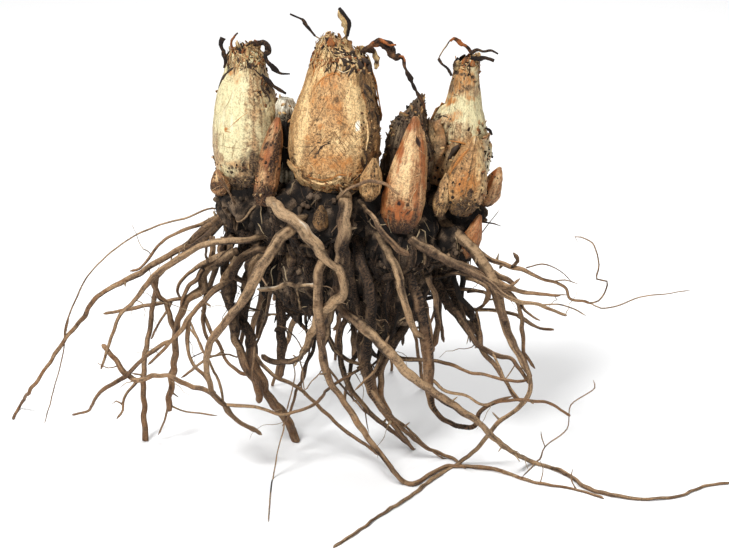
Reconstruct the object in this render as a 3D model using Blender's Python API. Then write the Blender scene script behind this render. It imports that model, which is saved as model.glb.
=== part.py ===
"""A tuberose clump: three grown bulbs with their offsets and dried leaf stumps, on one crown of roots.

Metres, +Z up. The clump stands on its roots, with the floor at z = 0 and its middle over the origin.
The front, seen along +Y, is the side with the long slim offset between the middle and right bulbs.
"""

import math
import random

import bmesh
import bpy
from mathutils import Matrix, Vector, noise

MM = 0.001

# Driving dimensions
BULB_WIDTH = 35 * MM          # the middle bulb without its loose sheaths, with which it is 113 mm around
BULB_HEIGHT = 58 * MM         # the middle bulb from its seat to its cut neck
CROWN_HEIGHT = 104 * MM       # the middle of the crown over the floor
CLEARANCE = 0.35 * MM         # the gap that is left between touching pieces
CUTTER_GROWTH = 0.4 * MM      # how far the corners of a cutter move out for that gap
LEAF_THICKNESS = 0.8 * MM     # torn leaf ends
STRAND_THICKNESS = 1.1 * MM   # long dried strands
COLLAR_HEIGHT = 2.4           # mm, the rim of dead leaf bases on each cut neck

# How the routes that are read off a front view are turned into places
VIEW_TILT = math.radians(20)  # the view looks down by this much
VIEW_DISTANCE = 900 * MM
PIXEL = 0.391 * MM            # real size of one pixel of the view at the clump's middle
VIEW_MIDDLE = (364.5, 279.0)  # pixel that the view is centred on
LOOK_AT = Vector((0, 0, 71 * MM))

FLOOR = None                  # a route point with this depth lies on the floor
FLOOR_SHARE = 0.4             # a lying root's middle is this share of its girth up, flat underneath

# How finely things are modelled: lengths between the rings of a root, and faces around and up the rest
SEEN_SPACING = 9 * MM
HIDDEN_SPACING = 13 * MM
STRAND_SPACING = 6 * MM
BULB_FACES = (22, 13)
OLD_BULB_FACES = (12, 7)
KNOB_FACES = (11, 7)
COLLAR_FACES = 10

# How uneven things are
KNOBBLY = 0.12                # change of a root's girth, as a share of it
KNOB_LENGTH = 6 * MM          # about how far apart such changes are
LOBES = 0.35                  # lumpiness of the crown's knobs, as a share of their size
SWELL = 1.1                   # mm, on a bulb
RAGGED = 0.04                 # of a sheath's torn edge, as a share of the bulb's height
SHEATH_EDGE = 12              # degrees over which a sheath thins out at its sides

# Roots at the back and inside, in mm: where the longest stand on the floor, and how many others hang
BACK_FEET = ((-40, 62), (-13, 92), (12, 80), (25, 60))
HANGING_ROOTS = 13
INNER_ROOTS = 3
HANGING_DEPTHS = (14, 62)     # from the nearest end to the middle to the furthest back
FORKED_SHARE = 0.3            # share of them with a side root
STOUTNESS = (2.8, 5.4)        # the range of their diameters at the crown
SWAY = 8                      # how far they swing to a side
SEED = 7


def seen(across, down, depth):
    """The place seen at that pixel of the front view, depth mm behind the middle, or on the floor."""
    forward = Vector((0, math.cos(VIEW_TILT), -math.sin(VIEW_TILT)))
    upward = Vector((0, math.sin(VIEW_TILT), math.cos(VIEW_TILT)))
    lens = LOOK_AT - forward * VIEW_DISTANCE
    scale = PIXEL / VIEW_DISTANCE
    ray = forward + upward * (VIEW_MIDDLE[1] - down) * scale
    ray.x = (across - VIEW_MIDDLE[0]) * scale
    steps = -lens.z / ray.z if depth is FLOOR else (depth * MM - lens.y) / ray.y
    return lens + ray * steps


def through(points, spacing):
    """A smooth curve through the points, sampled about every spacing."""
    ends = [points[0] * 2 - points[1], *points, points[-1] * 2 - points[-2]]
    curve = []
    for a, b, c, d in zip(ends, ends[1:], ends[2:], ends[3:]):
        steps = max(1, round((c - b).length / spacing))
        ta, tb, tc = (max(1e-6, (q - p).length) ** 0.5 for p, q in ((a, b), (b, c), (c, d)))
        leave = ((b - a) / ta - (c - a) / (ta + tb) + (c - b) / tb) * tb
        arrive = ((c - b) / tb - (d - b) / (tb + tc) + (d - c) / tc) * tb
        for step in range(steps):
            t = step / steps
            curve.append(
                b * (2 * t**3 - 3 * t**2 + 1)
                + leave * (t**3 - 2 * t**2 + t)
                + c * (3 * t**2 - 2 * t**3)
                + arrive * (t**3 - t**2)
            )
    return [*curve, points[-1]]


def between(values, share):
    """The value at that share of the way along a list of evenly spaced values."""
    place = min(max(share, 0), 1) * (len(values) - 1)
    low = min(int(place), len(values) - 2)
    return values[low] + (values[low + 1] - values[low]) * (place - low)


def at(pairs, share):
    """The value at that share, from pairs of share and value, straight between them."""
    for (s0, v0), (s1, v1) in zip(pairs, pairs[1:]):
        if share <= s1:
            t = (share - s0) / (s1 - s0)
            return v0 + (v1 - v0) * t
    return pairs[-1][1]


def step_up(value, width):
    """0 below zero, 1 above width, and smooth between."""
    t = min(max(value / width, 0), 1)
    return t * t * (3 - 2 * t)


def skin(name, colour, roughness):
    """A plain finish for one kind of tissue."""
    finish = bpy.data.materials.new(name)
    finish.use_nodes = True
    shader = finish.node_tree.nodes["Principled BSDF"]
    shader.inputs["Base Color"].default_value = (*colour, 1)
    shader.inputs["Roughness"].default_value = roughness
    shader.inputs["Metallic"].default_value = 0
    return finish


def piece(name, shapes, finish):
    """One object from shapes, each a pair of vertices and faces. Shapes stay loose until joined."""
    shell = bmesh.new()
    for points, faces in shapes:
        made = [shell.verts.new(p) for p in points]
        for face in faces:
            shell.faces.new([made[i] for i in face])
    bmesh.ops.recalc_face_normals(shell, faces=shell.faces)
    bmesh.ops.triangulate(shell, faces=shell.faces)
    mesh = bpy.data.meshes.new(name)
    shell.to_mesh(mesh)
    shell.free()
    mesh.materials.append(finish)
    mesh.shade_smooth()
    mesh.set_sharp_from_angle(angle=math.radians(50))
    thing = bpy.data.objects.new(name, mesh)
    bpy.context.scene.collection.objects.link(thing)
    return thing


def lofted(rings):
    """A closed shape over rings of points, with a point at each end."""
    sides = len(rings[1])
    points = [p for ring in rings for p in ring]
    faces = []
    start = len(rings[0])
    for row in range(len(rings) - 3):
        for k in range(sides):
            low, nxt = start + row * sides, start + (row + 1) * sides
            faces.append((low + k, low + (k + 1) % sides, nxt + (k + 1) % sides, nxt + k))
    last = len(points) - 1
    top = last - sides
    for k in range(sides):
        faces.append((0, start + (k + 1) % sides, start + k))
        faces.append((last, top + k, top + (k + 1) % sides))
    return points, faces


def frames(curve):
    """For each point of the curve, two directions across it that turn as little as they can."""
    ahead = [(b - a).normalized() for a, b in zip([curve[0], *curve], [*curve[1:], curve[-1]])]
    side = ahead[0].orthogonal().normalized()
    for heading in ahead:
        side = (side - heading * side.dot(heading)).normalized()
        yield side, heading.cross(side)


def tube(points, girths, spacing, seed):
    """A closed round root through the points, its diameters in mm spread evenly along it."""
    curve = through(points, spacing)
    sides = sides_for(girths)
    fuller = math.pi / (sides * math.sin(math.pi / sides))  # as wide on the whole as a round root
    rings = []
    for i, (place, (side, other)) in enumerate(zip(curve, frames(curve))):
        swell = 1 + KNOBBLY * noise.noise(Vector((seed, place.x / KNOB_LENGTH, place.z / KNOB_LENGTH)))
        radius = between(girths, i / (len(curve) - 1)) * MM / 2 * swell * fuller
        turns = [math.tau * k / sides for k in range(sides)]
        rings.append([place + (side * math.cos(a) + other * math.sin(a)) * radius for a in turns])
    heel = (curve[0] - curve[1]).normalized() * girths[0] * MM * 0.2
    toe = (curve[-1] - curve[-2]).normalized() * girths[-1] * MM * 0.3
    return lofted([[curve[0] + heel], *rings, [curve[-1] + toe]])


def sides_for(girths):
    """Thick roots are rounder than thin ones."""
    return 5 if max(girths) > 2.9 else 4 if max(girths) > 1.7 else 3


def blade(points, widths, spacing, facing, thickness):
    """A flat dried leaf or strand, its widths in mm spread evenly along it, its face turned to facing."""
    curve = through(points, spacing)
    rings = []
    for i, place in enumerate(curve):
        ahead = (curve[min(i + 1, len(curve) - 1)] - curve[max(i - 1, 0)]).normalized()
        across = ahead.cross(facing).normalized() * between(widths, i / (len(curve) - 1)) * MM / 2
        deep = ahead.cross(across).normalized() * thickness / 2
        rings.append([place + across, place + deep, place - across, place - deep])
    end = (curve[-1] - curve[-2]).normalized() * widths[-1] * MM * 0.4
    start = (curve[0] - curve[1]).normalized() * widths[0] * MM * 0.2
    return lofted([[curve[0] + start], *rings, [curve[-1] + end]])


def knob(middle, size, seed):
    """A lumpy rounded knob of tissue, from its middle and half sizes in mm."""
    around, up = KNOB_FACES
    rings = [[Vector(middle) - Vector((0, 0, size[2]))]]
    for row in range(1, up):
        tilt = math.pi * row / up - math.pi / 2
        ring = []
        for k in range(around):
            turn = math.tau * k / around
            across = math.cos(tilt)
            out = Vector((across * math.cos(turn), across * math.sin(turn), math.sin(tilt)))
            swell = 1 + LOBES * noise.noise(out * 1.7 + Vector((seed, 0, 0)))
            ring.append(Vector(middle) + Vector(a * b * swell for a, b in zip(out, size)))
        rings.append(ring)
    rings.append([Vector(middle) + Vector((0, 0, size[2]))])
    return lofted([[p * MM for p in ring] for ring in rings])


def bulb(foot, tip, girth, form, faces, seed, sheaths=()):
    """A bulb from its foot to its tip, in mm, girth wide at its widest, its dry sheaths standing proud."""
    foot, tip = Vector(foot), Vector(tip)
    around, up = faces
    _, side, front = axes_of(foot, tip)
    rings = [[foot * MM]]
    for row in range(up + 1):
        share = row / up
        ring = []
        for k in range(around):
            turn = math.tau * k / around
            swell = noise.noise(Vector((math.cos(turn), math.sin(turn), share * 2 + seed)))
            sheathed = sum(sheath_at(math.degrees(turn), share, *sheath) for sheath in sheaths)
            proud = SWELL * swell + sheathed
            size = girth / 2 * at(form, share) + proud * min(1, girth / 20)
            spoke = side * math.cos(turn) + front * math.sin(turn)
            ring.append((foot.lerp(tip, share) + spoke * size) * MM)
        rings.append(ring)
    rings.append([tip * MM])
    return lofted(rings)


def offset_faces(girth):
    """Faces around and up an offset of that girth."""
    return (14, 10) if girth > 14 else (10, 7) if girth > 9 else (8, 6)


def axes_of(foot, tip):
    """The way up a bulb, and its right and its back."""
    axis = (tip - foot).normalized()
    side = Vector((0, 1, 0)).cross(axis).normalized()
    return axis, side, axis.cross(side)


def sheath_at(turn, share, facing, half_width, start, torn, thickness):
    """How far a sheath stands proud at that turn, in degrees, and share of the height."""
    off = abs((turn - facing + 180) % 360 - 180)
    ragged = RAGGED * math.sin(math.radians(5 * turn + 3 * facing))
    inside = min(torn + ragged - share, share - start + ragged if start else 1)
    return thickness * step_up(half_width - off, SHEATH_EDGE) * step_up(inside, RAGGED)


# Width over height: pairs of height and width, each as a share of the whole, from the seat up
MIDDLE_FORM = (
    (0, 0.42), (0.04, 0.66), (0.09, 0.83), (0.16, 0.93), (0.26, 0.99), (0.36, 1), (0.49, 0.96),
    (0.59, 0.87), (0.69, 0.77), (0.82, 0.64), (0.94, 0.52), (1, 0.42),
)
LEFT_FORM = (
    (0, 0.5), (0.05, 0.62), (0.12, 0.76), (0.2, 0.9), (0.31, 0.99), (0.42, 1), (0.56, 0.95),
    (0.66, 0.86), (0.74, 0.76), (0.84, 0.65), (0.92, 0.6), (1, 0.54),
)
RIGHT_FORM = (
    (0, 0.5), (0.08, 0.75), (0.19, 0.93), (0.31, 1), (0.44, 0.98), (0.55, 0.86), (0.64, 0.7),
    (0.75, 0.57), (0.86, 0.51), (1, 0.42),
)
FRONT_FORM = (
    (0, 0.4), (0.06, 0.7), (0.15, 0.92), (0.29, 1), (0.44, 0.92), (0.58, 0.78), (0.74, 0.59),
    (0.87, 0.39), (0.96, 0.2), (1, 0.08),
)
OFFSET_FORM = (
    (0, 0.34), (0.08, 0.62), (0.2, 0.88), (0.34, 1), (0.5, 0.93), (0.65, 0.77), (0.8, 0.54),
    (0.92, 0.3), (1, 0.1),
)
OLD_FORM = ((0, 0.6), (0.15, 0.9), (0.35, 1), (0.6, 0.92), (0.8, 0.72), (0.92, 0.5), (1, 0.3))

# The driving heights and widths in mm, for the lists below
HIGH = CROWN_HEIGHT / MM
TALL = BULB_HEIGHT / MM
WIDE = BULB_WIDTH / MM

# Places and girths in mm. A sheath is the way it faces in degrees (0 for +X, 270 for the front), its
# half width in degrees, the shares of the height where it starts and is torn off, and its thickness in mm.
BULBS = {
    "bulb_middle": {
        "foot": (-11, -13, HIGH + 8), "tip": (-8.3, -10, HIGH + 6 + TALL),
        "girth": WIDE, "form": MIDDLE_FORM, "skin": "bulb_tan",
        "sheaths": ((250, 58, 0.1, 0.86, 1.3), (15, 50, 0, 0.66, 1.2), (140, 60, 0, 0.9, 0.9)),
    },
    "bulb_left": {
        "foot": (-45.3, 0, HIGH + 6), "tip": (-46.4, 0, HIGH + 1.5 + TALL),
        "girth": 0.73 * WIDE, "form": LEFT_FORM, "skin": "bulb_cream",
        "sheaths": ((325, 48, 0, 0.62, 1.0), (285, 170, 0.74, 1, 1.0), (90, 70, 0, 0.85, 0.8)),
    },
    "bulb_right": {
        "foot": (35.2, 3, HIGH + 2), "tip": (38.8, 3, HIGH - 4 + TALL),
        "girth": 0.64 * WIDE, "form": RIGHT_FORM, "skin": "bulb_cream",
        "sheaths": ((350, 62, 0, 0.42, 3.4), (240, 60, 0, 0.34, 1.4), (270, 175, 0.72, 1, 0.6)),
    },
}

# Each offset's foot and tip in mm, girth in mm, and skin
OFFSETS = {
    "offset_front": ((13.6, -27, HIGH - 4.5), (19.4, -21, HIGH + 39), 16.8, "offset_russet"),
    "offset_slim": ((-36.5, -17, HIGH + 2), (-33, -12, HIGH + 36), 10, "offset_russet"),
    "offset_right": ((36, -17, HIGH - 1), (44.5, -13, HIGH + 30), 15.5, "bulb_tan"),
    "offset_sliver": ((27.5, -22, HIGH - 3), (31, -18, HIGH + 17), 6.6, "bulb_tan"),
    "offset_edge": ((45, -5, HIGH - 4), (52, -6, HIGH + 14.5), 7.8, "offset_russet"),
    "offset_low": ((38.5, -14, HIGH - 19), (44, -17, HIGH - 1), 7.6, "offset_russet"),
    "offset_notch": ((1.5, -29, HIGH + 9), (3.5, -31.5, HIGH + 26), 8.4, "bulb_tan"),
    "offset_bud": ((-16.5, -29, HIGH - 3), (-16, -32, HIGH + 9), 5.2, "bulb_tan"),
    "offset_corner": ((-54.5, -5, HIGH + 1), (-57.8, -7, HIGH + 13), 7.6, "offset_russet"),
    "offset_back_left": ((-24, 17, HIGH + 2), (-26, 24, HIGH + 30), 12, "bulb_tan"),
    "offset_back_right": ((20, 19, HIGH - 2), (22, 27, HIGH + 22), 10.5, "offset_russet"),
    "offset_back_bud": ((2, 23, HIGH), (3, 29, HIGH + 14), 7, "bulb_tan"),
}
OLD_BULBS = {
    "old_bulb_dark": ((15.5, -4, HIGH), (18, -2, HIGH + 38), 20, "old_scale"),
    "old_bulb_pale": ((-30, 2, HIGH + 2), (-28.5, 1, HIGH + 42), 13, "old_pale"),
}

# Middle and half sizes in mm of the knobs that make the crown
CROWN_KNOBS = (
    ((-43.5, 0, HIGH - 1), (13, 13, 12)),
    ((-11, -10, HIGH - 1), (21, 19, 15)),
    ((30.5, 2, HIGH - 4), (14, 16, 12)),
    ((13, -15, HIGH - 10), (16, 15, 14)),
    ((33, -7, HIGH - 14), (12, 12, 11)),
    ((-26, -6, HIGH - 3), (16, 15, 13)),
    ((13, 3, HIGH - 3), (15, 15, 12)),
    ((-12, 12, HIGH - 5), (24, 13, 12)),
    ((18, 14, HIGH - 9), (18, 13, 12)),
    ((-4, -3, HIGH - 22), (27, 17, 20)),
    ((8, -8, HIGH - 34), (15, 12, 20)),
    ((-22, 0, HIGH - 31), (13, 11, 18)),
)

# Roots that show in the front view: diameters in mm, then points as pixels across and down, and mm of depth
SEEN_ROOTS = {
    "crossing": ((3.2, 4.6, 4.2, 3.6, 4.2, 3.4, 2.0), (
        (268, 200, -20), (277, 207, -34), (290, 218, -38), (316, 245, -43), (329, 262, -45),
        (343, 279, -45), (344, 293, -44), (334, 303, -42), (321, 314, -41), (312, 335, -39),
        (303, 354, -36))),
    "crossing_leg": ((4.4, 4.0, 3.2, 2.4, 2.0, 1.6, 1.5, 1.2, 1.0), (
        (326, 258, -44), (319, 270, -44), (318, 303, -43), (320, 326, -42), (324, 362, -41),
        (331, 384, -41), (346, 405, -42), (366, 435, -43), (385, 460, -42), (404, 483, -37),
        (412, 486, FLOOR), (430, 476, FLOOR), (448, 468, FLOOR), (491, 470, FLOOR), (538, 484, FLOOR),
        (576, 490, FLOOR), (604, 499, FLOOR))),
    "left_stay": ((5.0, 5.6, 5.2, 4.0, 2.6, 2.0, 1.6), (
        (304, 218, -22), (291, 228, -34), (270, 254, -39), (253, 284, -41), (231, 316, -41),
        (212, 341, -39), (206, 358, -37), (213, 393, -34), (224, 405, -32), (238, 421, -30),
        (262, 434, -26))),
    "upright": ((5.0, 5.2, 4.8, 3.6, 2.4), (
        (345, 190, -20), (343, 208, -32), (341, 240, -36), (338, 268, -36), (331, 305, -31),
        (324, 345, -26))),
    "ringed_middle": ((4.2, 4.6, 4.8, 4.4, 4.4, 3.0, 1.8, 1.2), (
        (356, 238, -20), (361, 263, -33), (369, 285, -38), (371, 318, -35), (367, 345, -29),
        (366, 370, -25), (372, 393, -23), (386, 414, -22), (399, 432, -20), (414, 449, -12))),
    "right_runner": ((4.0, 4.6, 4.4, 3.6, 2.6, 2.0, 1.8, 1.6, 1.3, 1.1, 1.0), (
        (332, 292, -20), (343, 309, -34), (363, 326, -41), (384, 347, -45), (413, 377, -47),
        (446, 401, -46), (477, 421, -42), (491, 435, -38), (511, 451, -30), (533, 464, FLOOR),
        (563, 474, FLOOR), (590, 491, FLOOR), (606, 495, FLOOR), (639, 500, FLOOR), (675, 498, FLOOR),
        (705, 487, FLOOR), (734, 483, FLOOR))),
    "right_pale": ((3.2, 4.0, 3.6, 3.0, 2.0), (
        (373, 222, -18), (385, 248, -34), (398, 276, -41), (408, 311, -43), (415, 331, -41),
        (428, 341, -37))),
    "ringed_right": ((4.4, 5.2, 5.4, 4.6, 2.6, 2.0, 1.5, 1.2, 1.0), (
        (402, 258, -20), (411, 281, -32), (418, 302, -36), (425, 335, -38), (428, 362, -37),
        (429, 386, -36), (432, 405, -36), (443, 419, -36), (459, 426, -36), (474, 426, -36),
        (481, 411, -37), (497, 402, -39), (522, 400, -41), (548, 403, -42), (571, 416, -43))),
    "right_shoulder": ((5.0, 5.8, 4.6, 2.6, 2.2, 2.0, 1.8, 1.6, 1.4, 1.2, 1.0), (
        (434, 212, -6), (452, 230, -15), (474, 251, -21), (487, 269, -23), (497, 288, -25), (503, 313, -27),
        (510, 335, -29), (520, 353, -30), (528, 372, -31), (531, 385, -31), (527, 399, -31),
        (517, 409, -30), (499, 422, -28), (488, 436, -26), (474, 451, -22), (458, 465, FLOOR),
        (434, 479, FLOOR), (409, 498, FLOOR), (382, 515, FLOOR), (357, 533, FLOOR), (333, 548, FLOOR))),
    "right_reach": ((4.0, 4.4, 4.0, 3.0, 1.8, 1.4, 1.0), (
        (398, 228, -16), (411, 240, -27), (430, 251, -31), (449, 261, -33), (471, 271, -34),
        (487, 281, -35), (507, 297, -36), (521, 302, -36), (539, 305, -36), (554, 311, -36),
        (567, 315, -36))),
    "right_sprig": ((2.4, 1.8, 1.4, 1.2, 1.0), (
        (468, 242, -10), (487, 257, -14), (512, 267, -16), (526, 271, -17), (542, 279, -18),
        (557, 283, -18), (567, 289, -18), (570, 298, -18), (585, 301, -18), (591, 304, -18))),
    "right_sprig_low": ((2.4, 1.6, 1.0), (
        (487, 281, -35), (504, 288, -31), (520, 291, -30), (539, 294, -30), (560, 296, -30))),
    "right_drop": ((2.2, 1.8, 1.6, 1.6), (
        (497, 286, -24), (516, 301, -22), (522, 321, -21), (523, 340, -21), (525, 358, -24),
        (530, 378, -29))),
    "right_dark": ((4.6, 4.8, 4.4, 2.4, 1.6, 1.4), (
        (425, 262, -4), (446, 300, -9), (461, 321, -11), (471, 334, -12), (480, 346, -14), (492, 354, -16),
        (511, 359, -20), (521, 371, -24), (529, 383, -29))),
    "right_dark_twin": ((3.4, 3.6, 2.6, 1.6, 1.4), (
        (444, 270, 4), (459, 299, 2), (471, 316, 0), (478, 331, -4), (481, 347, -9), (494, 365, -15),
        (503, 378, -18), (513, 394, -24), (524, 402, -30))),
    "right_dark_third": ((4.0, 4.2, 4.0, 3.2), (
        (432, 250, 0), (440, 272, -2), (453, 299, -5), (465, 320, -8), (474, 336, -10))),
    "right_inner": ((2.8, 2.6, 2.2, 1.7, 1.5), (
        (490, 280, -24), (498, 304, -22), (505, 328, -22), (512, 346, -24), (521, 362, -27),
        (529, 376, -30))),
    "right_hook": ((1.4, 1.6, 1.6, 1.4), (
        (440, 288, -8), (450, 288, -8), (463, 289, -7), (475, 291, -6), (486, 293, -8), (485, 303, -8),
        (474, 311, -7))),
    "right_bar": ((1.6, 1.4, 1.4, 1.2, 1.0), (
        (472, 309, -6), (486, 310, -9), (505, 312, -12), (523, 318, -15), (536, 327, -17),
        (554, 330, -18))),
    "cross_low": ((2.8, 3.0, 2.6, 2.0), (
        (416, 308, -16), (407, 325, -16), (391, 350, -18), (377, 370, -19), (369, 388, -21))),
    "right_low": ((2.2, 1.8, 1.4, 1.2, 1.2), (
        (386, 328, -8), (397, 356, -14), (434, 361, -20), (456, 366, -23), (473, 373, -25), (489, 376, -27),
        (509, 381, -29), (529, 380, -31))),
    "left_runner": ((3.2, 3.0, 2.4, 2.0, 1.7, 1.4, 1.3), (
        (238, 204, -2), (216, 219, 2), (201, 232, 4), (189, 244, 5), (169, 255, 7), (140, 273, 10),
        (120, 283, 12), (97, 298, 14), (83, 318, 16), (65, 340, 18), (40, 378, 20), (31, 389, 21),
        (19, 409, FLOOR), (13, 420, FLOOR))),
    "left_pale": ((2.8, 2.6, 2.8, 2.4, 1.6, 1.2, 1.0), (
        (268, 232, -12), (250, 240, -23), (224, 241, -26), (208, 244, -26), (189, 252, -26),
        (165, 268, -26), (152, 278, -26), (143, 290, -25), (131, 304, -24), (120, 316, -23),
        (110, 342, -20), (101, 369, -16))),
    "left_prop": ((4.0, 3.6, 3.0, 1.8, 1.8, 2.4, 2.8, 2.9, 2.8), (
        (246, 206, 6), (229, 214, 2), (217, 226, 0), (200, 242, -4), (181, 257, -6), (163, 270, -8),
        (153, 281, -9), (158, 292, -9), (166, 303, -8), (171, 318, -6), (175, 335, -4), (175, 352, -2),
        (172, 378, 0), (168, 411, 2))),
    "left_fork": ((2.6, 2.4, 1.8, 1.4, 1.0), (
        (232, 280, -14), (215, 290, -20), (201, 304, -24), (189, 318, -26), (181, 330, -27),
        (170, 342, -27), (160, 354, -26), (148, 364, -25))),
    "left_fork_leg": ((1.8, 1.6, 1.4, 1.6), (
        (190, 316, -26), (188, 336, -26), (191, 362, -27), (203, 375, -29), (212, 391, -34))),
    "left_dark": ((2.6, 2.4, 2.2, 1.9, 1.6, 1.2), (
        (258, 210, 8), (254, 232, 8), (240, 262, 8), (222, 284, 8), (201, 292, 8), (182, 299, 8),
        (163, 302, 8), (131, 309, 8), (104, 314, 8))),
    "left_pin": ((1.4, 1.8, 2.2, 2.2, 2.4, 2.6), (
        (165, 267, -8), (158, 277, -5), (154, 300, 0), (150, 330, 3), (146, 352, 5), (143, 378, 6),
        (144, 404, 7), (145, 441, FLOOR))),
    "left_arm": ((1.6, 1.8, 1.8, 2.4, 2.0), (
        (222, 402, -32), (207, 391, -30), (186, 385, -28), (170, 376, -26), (155, 376, -24),
        (137, 380, -22), (127, 373, -20), (120, 366, -20), (110, 354, -18), (102, 344, -16))),
    "left_arm_leg": ((1.6, 1.3, 1.0), ((138, 380, -22), (124, 399, -22), (123, 411, -22), (117, 419, -21))),
    "left_hook": ((1.6, 1.8, 1.8, 1.2, 1.0), (
        (171, 341, -27), (160, 346, -25), (143, 359, -24), (127, 375, -22), (104, 390, -18), (94, 401, -14),
        (88, 411, -8), (72, 415, -2))),
    "left_sprig": ((1.8, 1.4, 1.2, 1.0), (
        (238, 203, 4), (222, 213, 6), (205, 223, 8), (179, 232, 10), (162, 242, 11), (148, 259, 11),
        (139, 268, 11), (130, 271, 11))),
    "dark_left": ((4.0, 4.2, 4.4, 4.4, 4.2, 3.6, 3.0), (
        (242, 224, 2), (229, 244, 0), (224, 264, -1), (226, 286, -4), (233, 319, -6), (236, 341, -7),
        (246, 366, -8), (255, 382, -8), (259, 403, -8))),
    "left_post": ((4.2, 4.6, 5.0, 5.4, 5.4, 5.0, 4.6, 3.6, 3.4), (
        (268, 214, 2), (268, 238, 3), (260, 264, 4), (247, 292, 4), (242, 316, 2), (250, 336, 0),
        (253, 361, -1), (263, 382, -2), (273, 402, -2), (286, 417, 1), (293, 430, 4), (297, 441, FLOOR))),
    "dark_fan": ((4.0, 4.4, 4.4, 4.0, 3.4), (
        (254, 212, 8), (248, 228, 7), (242, 248, 6), (235, 272, 6), (230, 300, 5), (234, 322, 3))),
    "dark_edge": ((3.4, 3.4, 3.0, 2.4, 1.8, 1.4), (
        (242, 208, 10), (230, 230, 12), (222, 252, 12), (213, 276, 12), (206, 298, 10), (203, 322, 8),
        (210, 344, 6))),
    "dark_thread": ((1.6, 1.6, 1.4, 1.3), (
        (203, 310, 10), (212, 333, 8), (220, 346, 6), (229, 363, 2), (247, 376, -6))),
    "dark_middle": ((4.4, 4.0, 3.8, 3.0), (
        (286, 266, 4), (282, 300, 2), (281, 330, 0), (281, 361, 0), (279, 377, 0))),
    "cross_bar": ((2.0, 1.8, 1.6, 1.5), (
        (322, 283, -42), (312, 285, -40), (299, 286, -38), (286, 284, -37), (272, 288, -37),
        (258, 289, -40))),
    "cross_bar_leg": ((1.5, 1.2, 1.0, 1.0), (
        (272, 288, -37), (268, 306, -34), (266, 319, -31), (256, 346, -28), (252, 381, -24))),
    "low_bar": ((2.0, 2.4, 2.8, 2.4), (
        (305, 350, -37), (299, 359, -34), (288, 362, -31), (273, 361, -28), (262, 355, -26))),
    "low_runner": ((1.8, 1.5, 1.4, 1.2), (
        (252, 350, -1), (264, 367, -6), (278, 378, -9), (296, 387, -12), (311, 400, -14), (326, 414, -16),
        (343, 429, -18), (362, 443, -22), (383, 457, -40))),
    "low_arc": ((1.3, 1.3, 1.2, 1.2, 1.3), (
        (224, 405, -32), (255, 407, -30), (280, 414, -28), (299, 411, -27), (316, 402, -27),
        (331, 386, -40), (346, 377, -34), (364, 366, -27))),
    "front_runner": ((2.2, 2.0, 1.6, 1.4, 1.3), (
        (370, 388, -24), (380, 403, -24), (390, 415, -23), (409, 435, -20), (431, 450, -14),
        (450, 461, -13), (466, 469, FLOOR))),
    "front_second": ((3.0, 2.4, 1.8, 1.2), (
        (354, 300, -10), (342, 328, -14), (340, 352, -17), (346, 380, -17), (363, 405, -16),
        (379, 421, -13), (400, 437, -8), (415, 449, FLOOR))),
    "collar_thread": ((1.6, 1.4, 1.2, 1.0), (
        (338, 198, -28), (345, 192, -33), (358, 184, -35), (368, 181, -36), (384, 184, -37),
        (393, 190, -38), (399, 194, -38))),
}


def crown_shapes():
    """The knobs that the roots and the bulbs grow from."""
    return [knob(middle, size, seed) for seed, (middle, size) in enumerate(CROWN_KNOBS)]


def seen_root_shapes():
    """The roots that the front view shows."""
    shapes = []
    for seed, (girths, points) in enumerate(SEEN_ROOTS.values()):
        route = grounded([seen(*point) for point in points], girths)
        shapes.append(tube(route, girths, SEEN_SPACING, seed))
    return shapes


def grounded(route, girths):
    """Lays a root on the floor where it meets it, or runs its steep end in, to be cut flat by the floor."""
    last = len(route) - 1
    on_floor = route[last].z < 1 * MM
    for i, place in enumerate(route):
        place.z = max(place.z, between(girths, i / last) * MM * FLOOR_SHARE)
    drop = route[last - 1] - route[last]
    if on_floor and drop.z > drop.xy.length * 0.5:
        route[last].z = -1 * MM
    return route


def hidden_root_routes():
    """Roots with their diameters: most hang or stand at the back, some inside."""
    draw = random.Random(SEED)
    ends = [Vector((x, y, 0)) for x, y in BACK_FEET]
    for _ in range(HANGING_ROOTS):
        y = draw.uniform(*HANGING_DEPTHS)
        lowest = 34 - y * math.tan(VIEW_TILT)  # lower ones would show below the front roots
        ends.append(Vector((draw.uniform(-56, 46), y, draw.uniform(lowest, 62))))
    for _ in range(INNER_ROOTS):
        ends.append(Vector((draw.uniform(-34, 28), draw.uniform(-20, 10), draw.uniform(38, 56))))
    routes = []
    for end in ends:
        start = Vector((end.x * 0.5, min(10, end.y * 0.3), HIGH - 9 - draw.uniform(0, 6)))
        route = hanging_route(start, end, draw)
        stout = draw.uniform(*STOUTNESS)
        routes.append((route, (stout, stout, stout * 0.75, stout * draw.uniform(0.4, 0.6), 1.4)))
        if draw.random() < FORKED_SHARE:
            routes.append(side_root(route, draw))
    return routes


def hanging_route(start, end, draw):
    """From the crown outwards and then down to the end, with a sway."""
    arch, sway, turn = draw.uniform(1.2, 2.0), draw.uniform(-SWAY, SWAY), draw.uniform(0, math.tau)
    across = Vector((end.y - start.y, start.x - end.x, 0)).normalized()
    steps = 6
    route = []
    for step in range(steps + 1):
        t = step / steps
        place = start.lerp(end, t**0.85)
        place.z = start.z + (end.z - start.z) * t**arch
        place += across * (sway * math.sin(t * math.pi) + 2.5 * t * (1 - t) * math.sin(turn + 8 * t))
        route.append(place * MM)
    return route


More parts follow.
